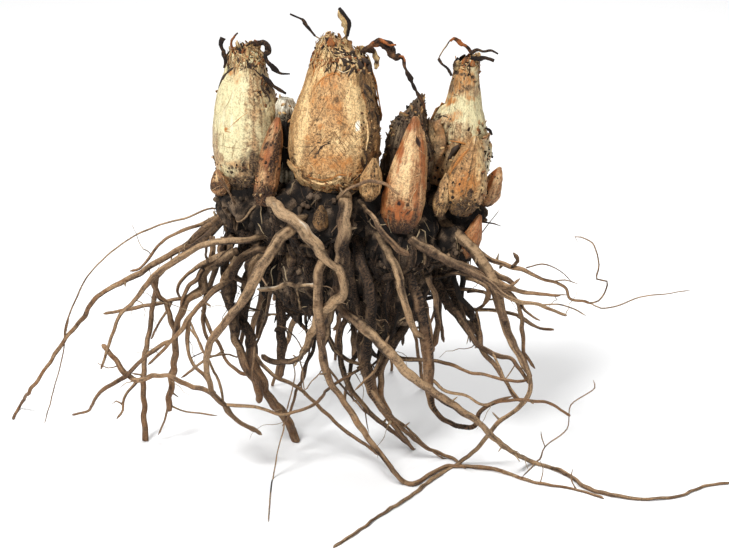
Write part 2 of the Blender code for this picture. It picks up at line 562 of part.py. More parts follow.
def side_root(route, draw):
    """A thin root that forks off another one about half way along."""
    fork = draw.choice((2, 3, 4))
    place = route[fork].copy()
    heading = (route[fork + 1] - place).normalized()
    heading = Matrix.Rotation(draw.uniform(0.5, 1.0) * draw.choice((-1, 1)), 3, "Z") @ heading
    side_route = [place]
    for _ in range(4):
        heading = (heading + Vector((draw.uniform(-0.3, 0.3), draw.uniform(-0.3, 0.3), -0.25))).normalized()
        place = place + heading * draw.uniform(5, 11) * MM
        side_route.append(place)
    return side_route, (1.7, 1.4, 1.2, 1.0)


def hidden_root_shapes():
    """The roots that the front view hides."""
    shapes = []
    for seed, (route, girths) in enumerate(hidden_root_routes()):
        shapes.append(tube(grounded(route, girths), girths, HIDDEN_SPACING, len(SEEN_ROOTS) + seed))
    return shapes


# Dried leaf stumps. Strands are widths in mm and points read off the front view, as the roots are.
STRANDS = {
    "dry_leaves_left": (
        ((3.0, 2.6, 2.2, 1.6), ((234, 46, -2), (225, 45, -3), (219, 42, -4), (216, 38, -4))),
        ((1.6, 1.2, 1.0), ((238, 46, -4), (234, 40, -5), (235, 36, -6))),
        ((3.0, 3.8, 4.0, 3.2, 2.4, 1.4, 1.2), (
            (246, 46, -2), (257, 45, -4), (265, 48, -6), (269, 57, -7), (273, 67, -8), (280, 72, -8),
            (290, 73, -8))),
    ),
    "dry_leaves_middle": (
        ((1.6, 1.3, 1.3, 1.3, 1.1), (
            (336, 42, -11), (325, 39, -11), (317, 36, -12), (309, 27, -12), (301, 18, -12),
            (292, 14, -12))),
        ((1.6, 1.4, 4.4, 3.4, 1.4), (
            (347, 42, -12), (347, 38, -12), (345, 29, -12), (342, 18, -12), (340, 10, -12))),
        ((3.0, 4.0, 4.4, 3.8, 4.4, 2.6, 2.2, 2.0, 1.8, 1.4), (
            (343, 40, -10), (354, 43, -9), (364, 50, -9), (371, 48, -9), (379, 45, -9), (391, 47, -10),
            (399, 55, -11), (404, 63, -12), (409, 72, -13), (417, 88, -13), (423, 101, -12),
            (430, 110, -11))),
    ),
    "dry_leaves_right": (
        ((2.2, 1.8, 1.6, 1.4, 1.2, 1.4, 1.4), (
            (468, 57, 0), (464, 48, -1), (457, 42, -2), (450, 41, -3), (440, 58, -4), (447, 69, -5),
            (453, 75, -6))),
        ((3.0, 3.6, 3.4, 2.4, 1.4), (
            (468, 55, 0), (476, 52, -1), (484, 53, -2), (491, 56, -3), (497, 57, -3))),
        ((3.0, 3.2, 2.6, 1.4), ((470, 57, 1), (480, 57, 0), (487, 60, -1), (495, 62, -2))),
    ),
}
STRAND_FACING = Vector((0.15, -1, 0.2))
# Under each stump: its bulb, how many torn leaf ends stand on it, and their longest in mm
STUMPS = {
    "dry_leaves_left": ("bulb_left", 7, 3.4),
    "dry_leaves_middle": ("bulb_middle", 7, 3.0),
    "dry_leaves_right": ("bulb_right", 5, 2.6),
}


def stump_shapes(name):
    """The torn neck of a bulb: a low collar, torn leaf ends round its rim, and long dried strands."""
    bulb_name, ends, longest = STUMPS[name]
    row = BULBS[bulb_name]
    foot, tip = Vector(row["foot"]), Vector(row["tip"])
    axis, side, front = axes_of(foot, tip)
    radius = row["girth"] / 2 * row["form"][-1][1]
    base = tip + axis * CLEARANCE / MM
    shapes = [collar(base, axis, side, front, radius)]
    draw = random.Random(len(name) + ends)
    for k in range(ends):
        turn = math.tau * (k + draw.uniform(-0.3, 0.3)) / ends
        out = side * math.cos(turn) + front * math.sin(turn)
        root = base + axis * 0.9 + out * radius * 0.7
        length = draw.uniform(0.5, 1) * longest
        lean = out * length * draw.uniform(-0.2, 0.5)
        points = [root, root + axis * length * 0.6 + out * 0.4, root + axis * length + lean]
        shapes.append(blade([p * MM for p in points], (3.6, 3.0, 1.4), STRAND_SPACING, out, LEAF_THICKNESS))
    for widths, points in STRANDS[name]:
        route = [seen(*point) for point in points]
        shapes.append(blade(route, widths, STRAND_SPACING, STRAND_FACING, STRAND_THICKNESS))
    return shapes


def collar(base, axis, side, front, radius):
    """The rim of dead leaf bases on a cut neck."""
    rings = [[base * MM]]
    turns = [math.tau * k / COLLAR_FACES for k in range(COLLAR_FACES)]
    spokes = [side * math.cos(a) + front * math.sin(a) for a in turns]
    for height, share in ((0, 0.88), (0.5, 0.98), (1, 0.8)):
        middle = base + axis * height * COLLAR_HEIGHT
        rings.append([(middle + spoke * radius * share) * MM for spoke in spokes])
    rings.append([(base + axis * 0.6 * COLLAR_HEIGHT) * MM])
    return lofted(rings)


def settle(thing):
    """Replaces the object's mesh by the one that its modifiers make."""
    graph = bpy.context.evaluated_depsgraph_get()
    mesh = bpy.data.meshes.new_from_object(thing.evaluated_get(graph))
    thing.modifiers.clear()
    thing.data = mesh


def fused(name, shapes, finish):
    """One body from shapes that overlap."""
    body = piece(name, shapes[:1], finish)
    others = bpy.data.collections.new(name + "_shapes")
    bpy.context.scene.collection.children.link(others)
    for shape in shapes[1:]:
        extra = piece(name + "_shape", [shape], finish)
        bpy.context.scene.collection.objects.unlink(extra)
        others.objects.link(extra)
    join = body.modifiers.new("join", "BOOLEAN")
    join.operation = "UNION"
    join.operand_type = "COLLECTION"
    join.collection = others
    join.solver = "MANIFOLD"
    settle(body)
    for extra in list(others.objects):
        bpy.data.objects.remove(extra)
    bpy.data.collections.remove(others)
    keep_largest(body)
    return body


def keep_largest(thing):
    """Drops the loose scraps that a cut leaves."""
    shell = bmesh.new()
    shell.from_mesh(thing.data)
    left = set(shell.verts)
    bodies = []
    while left:
        body, reach = set(), [left.pop()]
        while reach:
            corner = reach.pop()
            body.add(corner)
            joined = {edge.other_vert(corner) for edge in corner.link_edges} & left
            left -= joined
            reach.extend(joined)
        bodies.append(body)
    largest = max(bodies, key=len)
    bmesh.ops.delete(shell, geom=[v for v in shell.verts if v not in largest], context="VERTS")
    shell.to_mesh(thing.data)
    shell.free()


def cut(thing, cutter):
    """Takes the cutter's space out of the object."""
    gap = thing.modifiers.new("gap", "BOOLEAN")
    gap.operation = "DIFFERENCE"
    gap.solver = "MANIFOLD"
    gap.object = cutter
    settle(thing)


def grown_copy(thing):
    """A cutter a little larger than the object all round."""
    cutter = thing.copy()
    cutter.data = thing.data.copy()
    bpy.context.scene.collection.objects.link(cutter)
    normals = [corner.normal.copy() for corner in cutter.data.vertices]
    for corner, normal in zip(cutter.data.vertices, normals):
        corner.co += normal * CUTTER_GROWTH
    return cutter


def box_of(thing):
    """The object's lowest and highest X, Y and Z."""
    corners = [v.co for v in thing.data.vertices]
    return [[pick(c[i] for c in corners) for i in range(3)] for pick in (min, max)]


def near(a, b):
    """Whether the boxes of two objects touch."""
    (a_low, a_high), (b_low, b_high) = box_of(a), box_of(b)
    reach = 2 * CLEARANCE
    return all(a_low[i] < b_high[i] + reach and b_low[i] < a_high[i] + reach for i in range(3))


def nest(things):
    """Each piece makes room for those before it in the list."""
    for i, thing in enumerate(things):
        for earlier in things[:i]:
            if near(thing, earlier):
                cutter = grown_copy(earlier)
                cut(thing, cutter)
                bpy.data.objects.remove(cutter)
        if i:
            keep_largest(thing)


def stand_flat(thing):
    """Trims what would lie under the floor, which leaves small flat feet."""
    reach, depth = 400 * MM, 20 * MM
    outline = ((-reach, -reach), (reach, -reach), (reach, reach), (-reach, reach))
    corners = [(x, y, z) for z in (-depth, 0) for x, y in outline]
    faces = [(0, 1, 2, 3), (4, 5, 6, 7), (0, 1, 5, 4), (1, 2, 6, 5), (2, 3, 7, 6), (3, 0, 4, 7)]
    slab = piece("floor_slab", [(corners, faces)], thing.data.materials[0])
    cut(thing, slab)
    bpy.data.objects.remove(slab)


def main():
    for old in list(bpy.data.objects):
        bpy.data.objects.remove(old)
    skins = {
        "bulb_cream": skin("bulb_cream", (0.80, 0.66, 0.44), 0.5),
        "bulb_tan": skin("bulb_tan", (0.60, 0.42, 0.25), 0.6),
        "offset_russet": skin("offset_russet", (0.62, 0.36, 0.18), 0.5),
        "old_scale": skin("old_scale", (0.20, 0.14, 0.10), 0.85),
        "old_pale": skin("old_pale", (0.52, 0.48, 0.42), 0.85),
        "dry_leaf": skin("dry_leaf", (0.16, 0.09, 0.05), 0.75),
        "root_brown": skin("root_brown", (0.36, 0.26, 0.17), 0.75),
    }
    things = []
    for seed, (name, (foot, tip, girth, finish)) in enumerate(OFFSETS.items()):
        form = FRONT_FORM if name == "offset_front" else OFFSET_FORM
        things.append(piece(name, [bulb(foot, tip, girth, form, offset_faces(girth), seed)], skins[finish]))
    for name in STUMPS:
        things.append(fused(name, stump_shapes(name), skins["dry_leaf"]))
    for seed, (name, row) in enumerate(BULBS.items(), 20):
        shape = bulb(row["foot"], row["tip"], row["girth"], row["form"], BULB_FACES, seed, row["sheaths"])
        things.append(piece(name, [shape], skins[row["skin"]]))
    for seed, (name, (foot, tip, girth, finish)) in enumerate(OLD_BULBS.items(), 30):
        shape = bulb(foot, tip, girth, OLD_FORM, OLD_BULB_FACES, seed)
        things.append(piece(name, [shape], skins[finish]))
    grown = crown_shapes() + seen_root_shapes() + hidden_root_shapes()
    crown = fused("crown_with_roots", grown, skins["root_brown"])
    stand_flat(crown)
    nest([*things, crown])


main()
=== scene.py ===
"""The looks of the tuberose clump: papery bulbs and offsets, torn dry leaves, furrowed roots and their hairs.

Metres, +Z up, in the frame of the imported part, with the front towards -Y. Places in lists are in mm, or pixels
across and down in the front view, which looks down by 20 degrees from 0.9 m away.
"""

import itertools
import math
import random

import bpy
import numpy as np
from mathutils import Matrix, Vector, noise
from mathutils.bvhtree import BVHTree


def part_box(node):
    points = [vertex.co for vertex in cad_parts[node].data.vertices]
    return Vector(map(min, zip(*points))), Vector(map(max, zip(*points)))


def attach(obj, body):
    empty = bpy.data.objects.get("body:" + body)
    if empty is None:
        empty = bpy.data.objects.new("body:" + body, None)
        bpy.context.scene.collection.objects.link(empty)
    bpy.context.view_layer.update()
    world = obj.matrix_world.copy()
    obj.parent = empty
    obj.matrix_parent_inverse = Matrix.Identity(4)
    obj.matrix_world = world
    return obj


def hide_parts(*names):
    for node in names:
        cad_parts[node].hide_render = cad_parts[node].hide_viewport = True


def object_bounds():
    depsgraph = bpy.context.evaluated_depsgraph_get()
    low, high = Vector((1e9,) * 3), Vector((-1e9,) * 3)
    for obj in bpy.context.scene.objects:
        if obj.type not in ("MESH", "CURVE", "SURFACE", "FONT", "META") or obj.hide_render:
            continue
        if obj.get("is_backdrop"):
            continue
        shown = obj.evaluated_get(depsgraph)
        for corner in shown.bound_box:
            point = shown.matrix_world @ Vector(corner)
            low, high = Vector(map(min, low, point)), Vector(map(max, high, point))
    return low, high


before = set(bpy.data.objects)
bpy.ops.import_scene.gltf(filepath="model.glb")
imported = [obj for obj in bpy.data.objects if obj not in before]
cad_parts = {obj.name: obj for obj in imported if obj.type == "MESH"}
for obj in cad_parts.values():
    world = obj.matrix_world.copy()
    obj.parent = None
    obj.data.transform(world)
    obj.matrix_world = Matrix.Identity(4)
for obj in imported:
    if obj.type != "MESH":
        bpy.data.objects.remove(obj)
CAD_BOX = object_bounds()

MM = 0.001
TAU = math.tau

# The driving dimensions of the part
BULB_WIDTH = 35 * MM
BULB_HEIGHT = 58 * MM
CROWN_HEIGHT = 104 * MM
LEAF_GAP = 0.35               # mm between a bulb's cut neck and its leaf stump

# The front view
VIEW_TILT = math.radians(20)
VIEW_DISTANCE = 900 * MM
PIXEL = 0.391 * MM            # real size of one pixel at the clump's middle
VIEW_MIDDLE = (364.5, 279.0)
VIEW_WIDTH = 729
LOOK_AT = Vector((0, 0, 71 * MM))
FLOOR = None                  # a route point with this depth lies on the floor
FLOOR_SHARE = 0.4

# How uneven the part's own forms are
KNOBBLY = 0.15
KNOB_LENGTH = 6 * MM
LOBES = 0.35
SWELL = 1.1
RAGGED = 0.04
SHEATH_EDGE = 12

# Roots at the back and inside, in mm: where the longest stand on the floor, and how many others hang
BACK_FEET = ((-40, 62), (-13, 92), (12, 80), (25, 60))
HANGING_ROOTS = 13
INNER_ROOTS = 3
HANGING_DEPTHS = (14, 62)     # from the nearest end to the middle to the furthest back
FORKED_SHARE = 0.3            # share of them with a side root
STOUTNESS = (2.8, 5.4)        # the range of their diameters at the crown
SWAY = 8                      # how far they swing to a side
SEED = 7

# For setting fine pieces on a skin: how far off it a look outwards starts, and how far it must be free
CLEAR = 0.3 * MM
OUTLOOK = 14 * MM

# Width over height: pairs of height and width, each as a share of the whole, from the seat up
MIDDLE_FORM = (
    (0, 0.42), (0.04, 0.66), (0.09, 0.83), (0.16, 0.93), (0.26, 0.99), (0.36, 1), (0.49, 0.96), (0.59, 0.87),
    (0.69, 0.77), (0.82, 0.64), (0.94, 0.51), (0.98, 0.4), (1, 0.28))
LEFT_FORM = (
    (0, 0.7), (0.05, 0.82), (0.12, 0.91), (0.2, 0.97), (0.31, 1), (0.42, 1), (0.56, 0.95), (0.66, 0.86),
    (0.74, 0.75), (0.84, 0.6), (0.93, 0.54), (0.98, 0.44), (1, 0.3))
RIGHT_FORM = (
    (0, 0.5), (0.08, 0.75), (0.19, 0.93), (0.31, 0.98), (0.44, 0.94), (0.55, 0.82), (0.64, 0.66),
    (0.75, 0.54), (0.86, 0.46), (0.97, 0.4), (1, 0.28))
FRONT_FORM = (
    (0, 0.4), (0.06, 0.7), (0.15, 0.92), (0.29, 1), (0.44, 0.92), (0.58, 0.78), (0.74, 0.59), (0.87, 0.39),
    (0.96, 0.2), (1, 0.08))
OFFSET_FORM = (
    (0, 0.34), (0.08, 0.62), (0.2, 0.88), (0.34, 1), (0.5, 0.93), (0.65, 0.77), (0.8, 0.54), (0.92, 0.3),
    (1, 0.1))
SLIM_FORM = (
    (0, 0.5), (0.1, 0.84), (0.25, 1), (0.42, 0.98), (0.58, 0.9), (0.74, 0.74), (0.88, 0.5), (0.96, 0.28),
    (1, 0.12))
OLD_FORM = ((0, 0.6), (0.15, 0.9), (0.35, 1), (0.6, 0.92), (0.8, 0.72), (0.92, 0.5), (1, 0.3))

# The driving heights and widths in mm, for the lists below
HIGH = CROWN_HEIGHT / MM
TALL = BULB_HEIGHT / MM
WIDE = BULB_WIDTH / MM

# Places and girths in mm. A sheath is the way it faces in degrees (0 for +X, 270 for the front), its
# half width in degrees, the shares of the height where it starts and is torn off, and its thickness in mm.
BULBS = {
    "bulb_middle": {
        "foot": (-11, -13, HIGH + 8),
        "tip": (-8.3, -10, HIGH + 6 + TALL),
        "girth": WIDE,
        "form": MIDDLE_FORM,
        "skin": "bulb_tan",
        "sheaths": (
            (250, 58, 0.1, 0.86, 0.8), (20, 55, 0.25, 0.7, -1.2), (12, 62, 0, 0.3, -2.6),
            (140, 60, 0, 0.9, 0.9)),
    },
    "bulb_left": {
        "foot": (-45.3, 0, HIGH + 6), "tip": (-45, 0, HIGH + 1.5 + TALL), "girth": 0.73 * WIDE,
        "form": LEFT_FORM, "skin": "bulb_cream", "sheaths": ((325, 48, 0, 0.62, 0.4), (90, 70, 0, 0.85, 0.8)),
    },
    "bulb_right": {
        "foot": (35.2, 3, HIGH + 2),
        "tip": (38.8, 3, HIGH - 4 + TALL),
        "girth": 0.64 * WIDE,
        "form": RIGHT_FORM,
        "skin": "bulb_cream",
        "sheaths": ((350, 62, 0, 0.42, 1.2), (190, 50, 0, 0.64, 1.6), (240, 60, 0, 0.34, 0.8)),
    },
}

# Each offset's foot and tip in mm, girth in mm, and skin
OFFSETS = {
    "offset_front": ((12.8, -27, HIGH - 4.5), (19, -21, HIGH + 39), 15.6, "offset_russet"),
    "offset_slim": ((-38.8, -17, HIGH + 3), (-32.6, -12, HIGH + 36), 9.0, "offset_russet"),
    "offset_right": ((36, -17, HIGH - 1), (42, -13, HIGH + 29), 15.5, "bulb_tan"),
    "offset_sliver": ((28, -22, HIGH), (31, -18, HIGH + 16), 6.2, "bulb_tan"),
    "offset_edge": ((46, -5, HIGH - 1), (52, -6, HIGH + 14.5), 8.2, "offset_russet"),
    "offset_low": ((38.5, -14, HIGH - 19), (44, -17, HIGH - 1), 7.6, "offset_russet"),
    "offset_notch": ((1.5, -29, HIGH + 9), (3.5, -31.5, HIGH + 26), 8.4, "bulb_tan"),
    "offset_bud": ((-16.5, -28.5, HIGH - 3), (-16, -31, HIGH + 7.5), 6.2, "bulb_tan"),
    "offset_corner": ((-54.2, -7, HIGH + 4), (-56, -9, HIGH + 14.5), 8.0, "offset_russet"),
    "offset_back_left": ((-24, 17, HIGH + 2), (-26, 24, HIGH + 30), 12, "bulb_tan"),
    "offset_back_right": ((20, 19, HIGH - 2), (22, 27, HIGH + 22), 10.5, "offset_russet"),
    "offset_back_bud": ((2, 23, HIGH), (3, 29, HIGH + 14), 7, "bulb_tan"),
}
OLD_BULBS = {
    "old_bulb_dark": ((15.5, -4, HIGH), (18, -2, HIGH + 38), 20, "old_scale"),
    "old_bulb_pale": ((-31, 0, HIGH + 2), (-30, -3, HIGH + 41), 15, "old_pale"),
}

# Middle and half sizes in mm of the knobs that make the crown
CROWN_KNOBS = (
    ((-43.5, 0, HIGH - 1), (13, 13, 12)), ((-11, -10, HIGH - 1), (21, 19, 15)),
    ((30.5, 2, HIGH - 4), (14, 16, 12)), ((13, -15, HIGH - 10), (16, 15, 14)),
    ((31.5, -7, HIGH - 14), (11, 12, 11)), ((-26, -6, HIGH - 3), (16, 15, 13)),
    ((13, 3, HIGH - 3), (15, 15, 12)), ((-12, 12, HIGH - 5), (24, 13, 12)),
    ((18, 14, HIGH - 9), (18, 13, 12)), ((-4, -3, HIGH - 22), (27, 17, 20)),
    ((8, -8, HIGH - 34), (15, 12, 20)), ((-22, 0, HIGH - 31), (13, 11, 18)))
# Roots that show in the front view: diameters in mm, then points as pixels across and down, and mm of depth
SEEN_ROOTS = {
    "crossing": ((2.8, 4.4, 5.0, 5.0, 5.2, 3.6, 3.4, 4.6, 5.0, 4.2, 3.0), (
        (268, 200, -20), (277, 207, -34), (290, 218, -38), (316, 245, -43), (329, 262, -45), (343, 279, -45),
        (344, 293, -44), (334, 303, -42), (321, 314, -41), (312, 335, -39), (303, 354, -36))),
    "crossing_leg": ((4.4, 4.0, 3.2, 2.4, 2.0, 1.6, 1.5, 1.2, 1.0), (
        (326, 258, -44), (319, 270, -44), (318, 303, -43), (320, 326, -42), (324, 362, -41), (331, 384, -41),
        (346, 405, -42), (366, 435, -43), (385, 460, -42), (404, 483, -37), (412, 486, FLOOR),
        (430, 476, FLOOR), (448, 468, FLOOR), (491, 470, FLOOR), (538, 484, FLOOR), (576, 490, FLOOR),
        (604, 499, FLOOR))),
    "left_stay": ((4.8, 5.2, 4.6, 3.4, 2.4, 1.8, 1.5), (
        (304, 218, -22), (291, 228, -34), (270, 254, -39), (253, 284, -41), (231, 316, -41), (212, 341, -39),
        (206, 358, -37), (213, 393, -34), (224, 405, -32), (238, 421, -30), (262, 434, -26))),
    "upright": ((5.4, 6.4, 6.2, 4.4, 2.4), (
        (345, 190, -20), (344, 208, -32), (343, 240, -36), (341, 268, -36), (333, 305, -31),
        (324, 345, -26))),
    "ringed_middle": ((4.2, 4.6, 4.8, 4.4, 4.4, 3.0, 1.8, 1.2), (
        (356, 238, -20), (361, 263, -33), (369, 285, -38), (371, 318, -35), (367, 345, -29), (366, 370, -25),
        (372, 393, -23), (386, 414, -22), (399, 432, -20), (414, 449, -12))),
    "right_runner": ((4.0, 4.6, 4.4, 3.6, 2.6, 2.0, 1.8, 1.6, 1.3, 1.1, 1.0), (
        (332, 292, -20), (343, 309, -34), (363, 326, -41), (384, 347, -45), (413, 377, -47), (446, 401, -46),
        (477, 421, -42), (491, 435, -38), (511, 451, -30), (533, 464, FLOOR), (563, 474, FLOOR),
        (590, 491, FLOOR), (606, 495, FLOOR), (639, 500, FLOOR), (675, 498, FLOOR), (705, 487, FLOOR),
        (734, 483, FLOOR))),
    "right_pale": ((3.2, 4.0, 3.6, 3.0, 2.0), (
        (373, 222, -18), (385, 248, -34), (398, 276, -41), (408, 311, -43), (415, 331, -41),
        (428, 341, -37))),
    "ringed_right": ((4.4, 5.2, 5.4, 4.6, 2.6, 2.0, 1.5, 1.2, 1.0), (
        (402, 258, -20), (411, 281, -32), (418, 302, -36), (425, 335, -38), (428, 362, -37), (429, 386, -36),
        (432, 405, -36), (443, 419, -36), (459, 426, -36), (474, 426, -36), (481, 411, -37), (497, 402, -39),
        (522, 400, -41), (548, 403, -42), (571, 416, -43))),
    "right_shoulder": ((5.0, 5.8, 3.8, 2.1, 1.8, 1.8, 1.7, 1.5, 1.3, 1.2, 1.0), (
        (434, 212, -6), (452, 230, -15), (474, 251, -21), (487, 269, -23), (497, 288, -25), (503, 313, -27),
        (510, 335, -29), (520, 353, -30), (528, 372, -31), (531, 385, -31), (527, 399, -31), (517, 409, -30),
        (499, 422, -28), (488, 436, -26), (474, 451, -22), (458, 465, FLOOR), (434, 479, FLOOR),
        (409, 498, FLOOR), (382, 515, FLOOR), (357, 533, FLOOR), (333, 548, FLOOR))),
    "right_reach": ((4.0, 4.4, 4.0, 3.0, 1.8, 1.4, 1.0), (
        (398, 228, -16), (411, 240, -27), (430, 251, -31), (449, 261, -33), (471, 271, -34), (487, 281, -35),
        (507, 297, -36), (521, 302, -36), (539, 305, -36), (554, 311, -36), (567, 315, -36))),
    "right_sprig": ((2.4, 1.8, 1.4, 1.2, 1.0), (
        (468, 242, -10), (487, 257, -14), (512, 267, -16), (526, 271, -17), (542, 279, -18), (557, 283, -18),
        (567, 289, -18), (570, 298, -18), (585, 301, -18), (591, 304, -18))),
    "right_sprig_low": ((2.4, 1.6, 1.0), (
        (487, 281, -35), (504, 288, -31), (520, 291, -30), (539, 294, -30), (560, 296, -30))),
    "right_drop": ((2.2, 1.8, 1.6, 1.6), (
        (497, 286, -24), (516, 301, -22), (522, 321, -21), (523, 340, -21), (525, 358, -24),
        (530, 378, -29))),
    "right_dark": ((4.0, 4.0, 3.6, 2.2, 1.6, 1.4), (
        (425, 262, -4), (446, 300, -9), (461, 321, -11), (471, 334, -12), (480, 346, -14), (492, 354, -16),
        (511, 359, -20), (521, 371, -24), (529, 383, -29))),
    "right_dark_twin": ((3.4, 3.6, 2.6, 1.6, 1.4), (
        (444, 270, 4), (459, 299, 2), (471, 316, 0), (478, 331, -4), (481, 347, -9), (494, 365, -15),
        (503, 378, -18), (513, 394, -24), (524, 402, -30))),
    "right_dark_third": ((3.4, 3.4, 3.2, 2.6), (
        (432, 250, 0), (440, 272, -2), (453, 299, -5), (465, 320, -8), (474, 336, -10))),
    "right_inner": ((2.8, 2.6, 2.2, 1.7, 1.5), (
        (490, 280, -24), (498, 304, -22), (505, 328, -22), (512, 346, -24), (521, 362, -27),
        (529, 376, -30))),
    "right_hook": ((1.4, 1.6, 1.6, 1.4), (
        (440, 288, -8), (450, 288, -8), (463, 289, -7), (475, 291, -6), (486, 293, -8), (485, 303, -8),
        (474, 311, -7))),
    "right_bar": ((1.6, 1.4, 1.4, 1.2, 1.0), (
        (472, 309, -6), (486, 310, -9), (505, 312, -12), (523, 318, -15), (536, 327, -17), (554, 330, -18))),
    "cross_low": ((2.8, 3.0, 2.6, 2.0), (
        (416, 308, -16), (407, 325, -16), (391, 350, -18), (377, 370, -19), (369, 388, -21))),
    "right_low": ((2.2, 1.8, 1.4, 1.2, 1.2), (
        (386, 328, -8), (397, 356, -14), (434, 361, -20), (456, 366, -23), (473, 373, -25), (489, 376, -27),
        (509, 381, -29), (529, 380, -31))),
    "left_runner": ((3.2, 3.0, 2.4, 2.0, 1.7, 1.4, 1.3), (
        (238, 204, -2), (216, 219, 2), (201, 232, 4), (189, 244, 5), (169, 255, 7), (140, 273, 10),
        (120, 283, 12), (97, 298, 14), (83, 318, 16), (65, 340, 18), (40, 378, 20), (31, 389, 21),
        (19, 409, FLOOR), (13, 420, FLOOR))),
    "left_pale": ((2.8, 2.6, 2.8, 2.4, 1.6, 1.2, 1.0), (
        (268, 232, -12), (250, 240, -23), (224, 241, -26), (208, 244, -26), (189, 252, -26), (165, 268, -26),
        (152, 278, -26), (143, 290, -25), (131, 304, -24), (120, 316, -23), (110, 342, -20),
        (101, 369, -16))),
    "left_prop": ((4.0, 3.6, 3.0, 1.8, 1.8, 2.4, 2.8, 2.9, 2.8), (
        (246, 206, 6), (229, 214, 2), (217, 226, 0), (200, 242, -4), (181, 257, -6), (163, 270, -8),
        (153, 281, -9), (158, 292, -9), (166, 303, -8), (171, 318, -6), (175, 335, -4), (175, 352, -2),
        (172, 378, 0), (168, 411, 2))),
    "left_fork": ((2.6, 2.4, 1.8, 1.4, 1.0), (
        (232, 280, -14), (215, 290, -20), (201, 304, -24), (189, 318, -26), (181, 330, -27), (170, 342, -27),
        (160, 354, -26), (148, 364, -25))),
    "left_fork_leg": ((1.8, 1.6, 1.4, 1.6), (
        (190, 316, -26), (188, 336, -26), (191, 362, -27), (203, 375, -29), (212, 391, -34))),
    "left_dark": ((2.6, 2.4, 2.2, 1.9, 1.6, 1.2), (
        (258, 210, 8), (254, 232, 8), (240, 262, 8), (222, 284, 8), (201, 292, 8), (182, 299, 8),
        (163, 302, 8), (131, 309, 8), (104, 314, 8))),
    "left_pin": ((1.4, 1.8, 2.2, 2.2, 2.4, 2.6), (
        (165, 267, -8), (158, 277, -5), (154, 300, 0), (150, 330, 3), (146, 352, 5), (143, 378, 6),
        (144, 404, 7), (145, 441, FLOOR))),
    "left_arm": ((1.6, 1.8, 1.8, 2.4, 2.0), (
        (222, 402, -32), (207, 391, -30), (186, 385, -28), (170, 376, -26), (155, 376, -24), (137, 380, -22),
        (127, 373, -20), (120, 366, -20), (110, 354, -18), (102, 344, -16))),
    "left_arm_leg": ((1.6, 1.3, 1.0), ((138, 380, -22), (124, 399, -22), (123, 411, -22), (117, 419, -21))),
    "left_hook": ((1.6, 1.8, 1.8, 1.2, 1.0), (
        (171, 341, -27), (160, 346, -25), (143, 359, -24), (127, 375, -22), (104, 390, -18), (94, 401, -14),
        (88, 411, -8), (72, 415, -2))),
    "left_sprig": ((1.8, 1.4, 1.2, 1.0), (
        (238, 203, 4), (222, 213, 6), (205, 223, 8), (179, 232, 10), (162, 242, 11), (148, 259, 11),
        (139, 268, 11), (130, 271, 11))),
    "dark_left": ((4.0, 4.2, 4.4, 4.4, 4.2, 3.6, 3.0), (
        (242, 224, 2), (229, 244, 0), (224, 264, -1), (226, 286, -4), (233, 319, -6), (236, 341, -7),
        (246, 366, -8), (255, 382, -8), (259, 403, -8))),
    "left_post": ((4.2, 4.6, 5.0, 5.4, 5.4, 5.0, 4.6, 3.6, 3.4), (
        (268, 214, 2), (268, 238, 3), (260, 264, 4), (247, 292, 4), (242, 316, 2), (250, 336, 0),
        (253, 361, -1), (263, 382, -2), (273, 402, -2), (286, 417, 1), (293, 430, 4), (297, 441, FLOOR))),
    "dark_fan": ((4.0, 4.4, 4.4, 4.0, 3.4), (
        (254, 212, 8), (248, 228, 7), (242, 248, 6), (235, 272, 6), (230, 300, 5), (234, 322, 3))),
    "dark_edge": ((3.4, 3.4, 3.0, 2.4, 1.8, 1.4), (
        (242, 208, 10), (230, 230, 12), (222, 252, 12), (213, 276, 12), (206, 298, 10), (203, 322, 8),
        (210, 344, 6))),
    "dark_thread": ((1.6, 1.6, 1.4, 1.3), (
        (203, 310, 10), (212, 333, 8), (220, 346, 6), (229, 363, 2), (247, 376, -6))),
    "dark_middle": ((4.4, 4.0, 3.8, 3.0), (
        (286, 266, 4), (282, 300, 2), (281, 330, 0), (281, 361, 0), (279, 377, 0))),
    "cross_bar": ((2.0, 1.8, 1.6, 1.5), (
        (322, 283, -42), (312, 285, -40), (299, 286, -38), (286, 284, -37), (272, 288, -37),
        (258, 289, -40))),
    "cross_bar_leg": ((1.5, 1.2, 1.0, 1.0), (
        (272, 288, -37), (268, 306, -34), (266, 319, -31), (256, 346, -28), (252, 381, -24))),
    "low_bar": ((2.0, 2.4, 2.8, 2.4), (
        (305, 350, -37), (299, 359, -34), (288, 362, -31), (273, 361, -28), (262, 355, -26))),
    "low_runner": ((1.8, 1.5, 1.4, 1.2), (
        (252, 350, -1), (264, 367, -6), (278, 378, -9), (296, 387, -12), (311, 400, -14), (326, 414, -16),
        (343, 429, -18), (362, 443, -22), (383, 457, -40))),
    "low_arc": ((1.3, 1.3, 1.2, 1.2, 1.3), (
        (224, 405, -32), (255, 407, -30), (280, 414, -28), (299, 411, -27), (316, 402, -27), (331, 386, -40),
        (346, 377, -34), (364, 366, -27))),
    "front_runner": ((2.2, 2.0, 1.6, 1.4, 1.3), (
        (370, 388, -24), (380, 403, -24), (390, 415, -23), (409, 435, -20), (431, 450, -14), (450, 461, -13),
        (466, 469, FLOOR))),
    "front_second": ((3.0, 2.4, 1.8, 1.2), (
        (354, 300, -10), (342, 328, -14), (340, 352, -17), (346, 380, -17), (363, 405, -16), (379, 421, -13),
        (400, 437, -8), (415, 449, FLOOR))),
    "collar_thread": ((1.6, 1.4, 1.2, 1.0), (
        (338, 198, -28), (345, 192, -33), (358, 184, -35), (368, 181, -36), (384, 184, -37), (393, 190, -38),
        (399, 194, -38))),
}
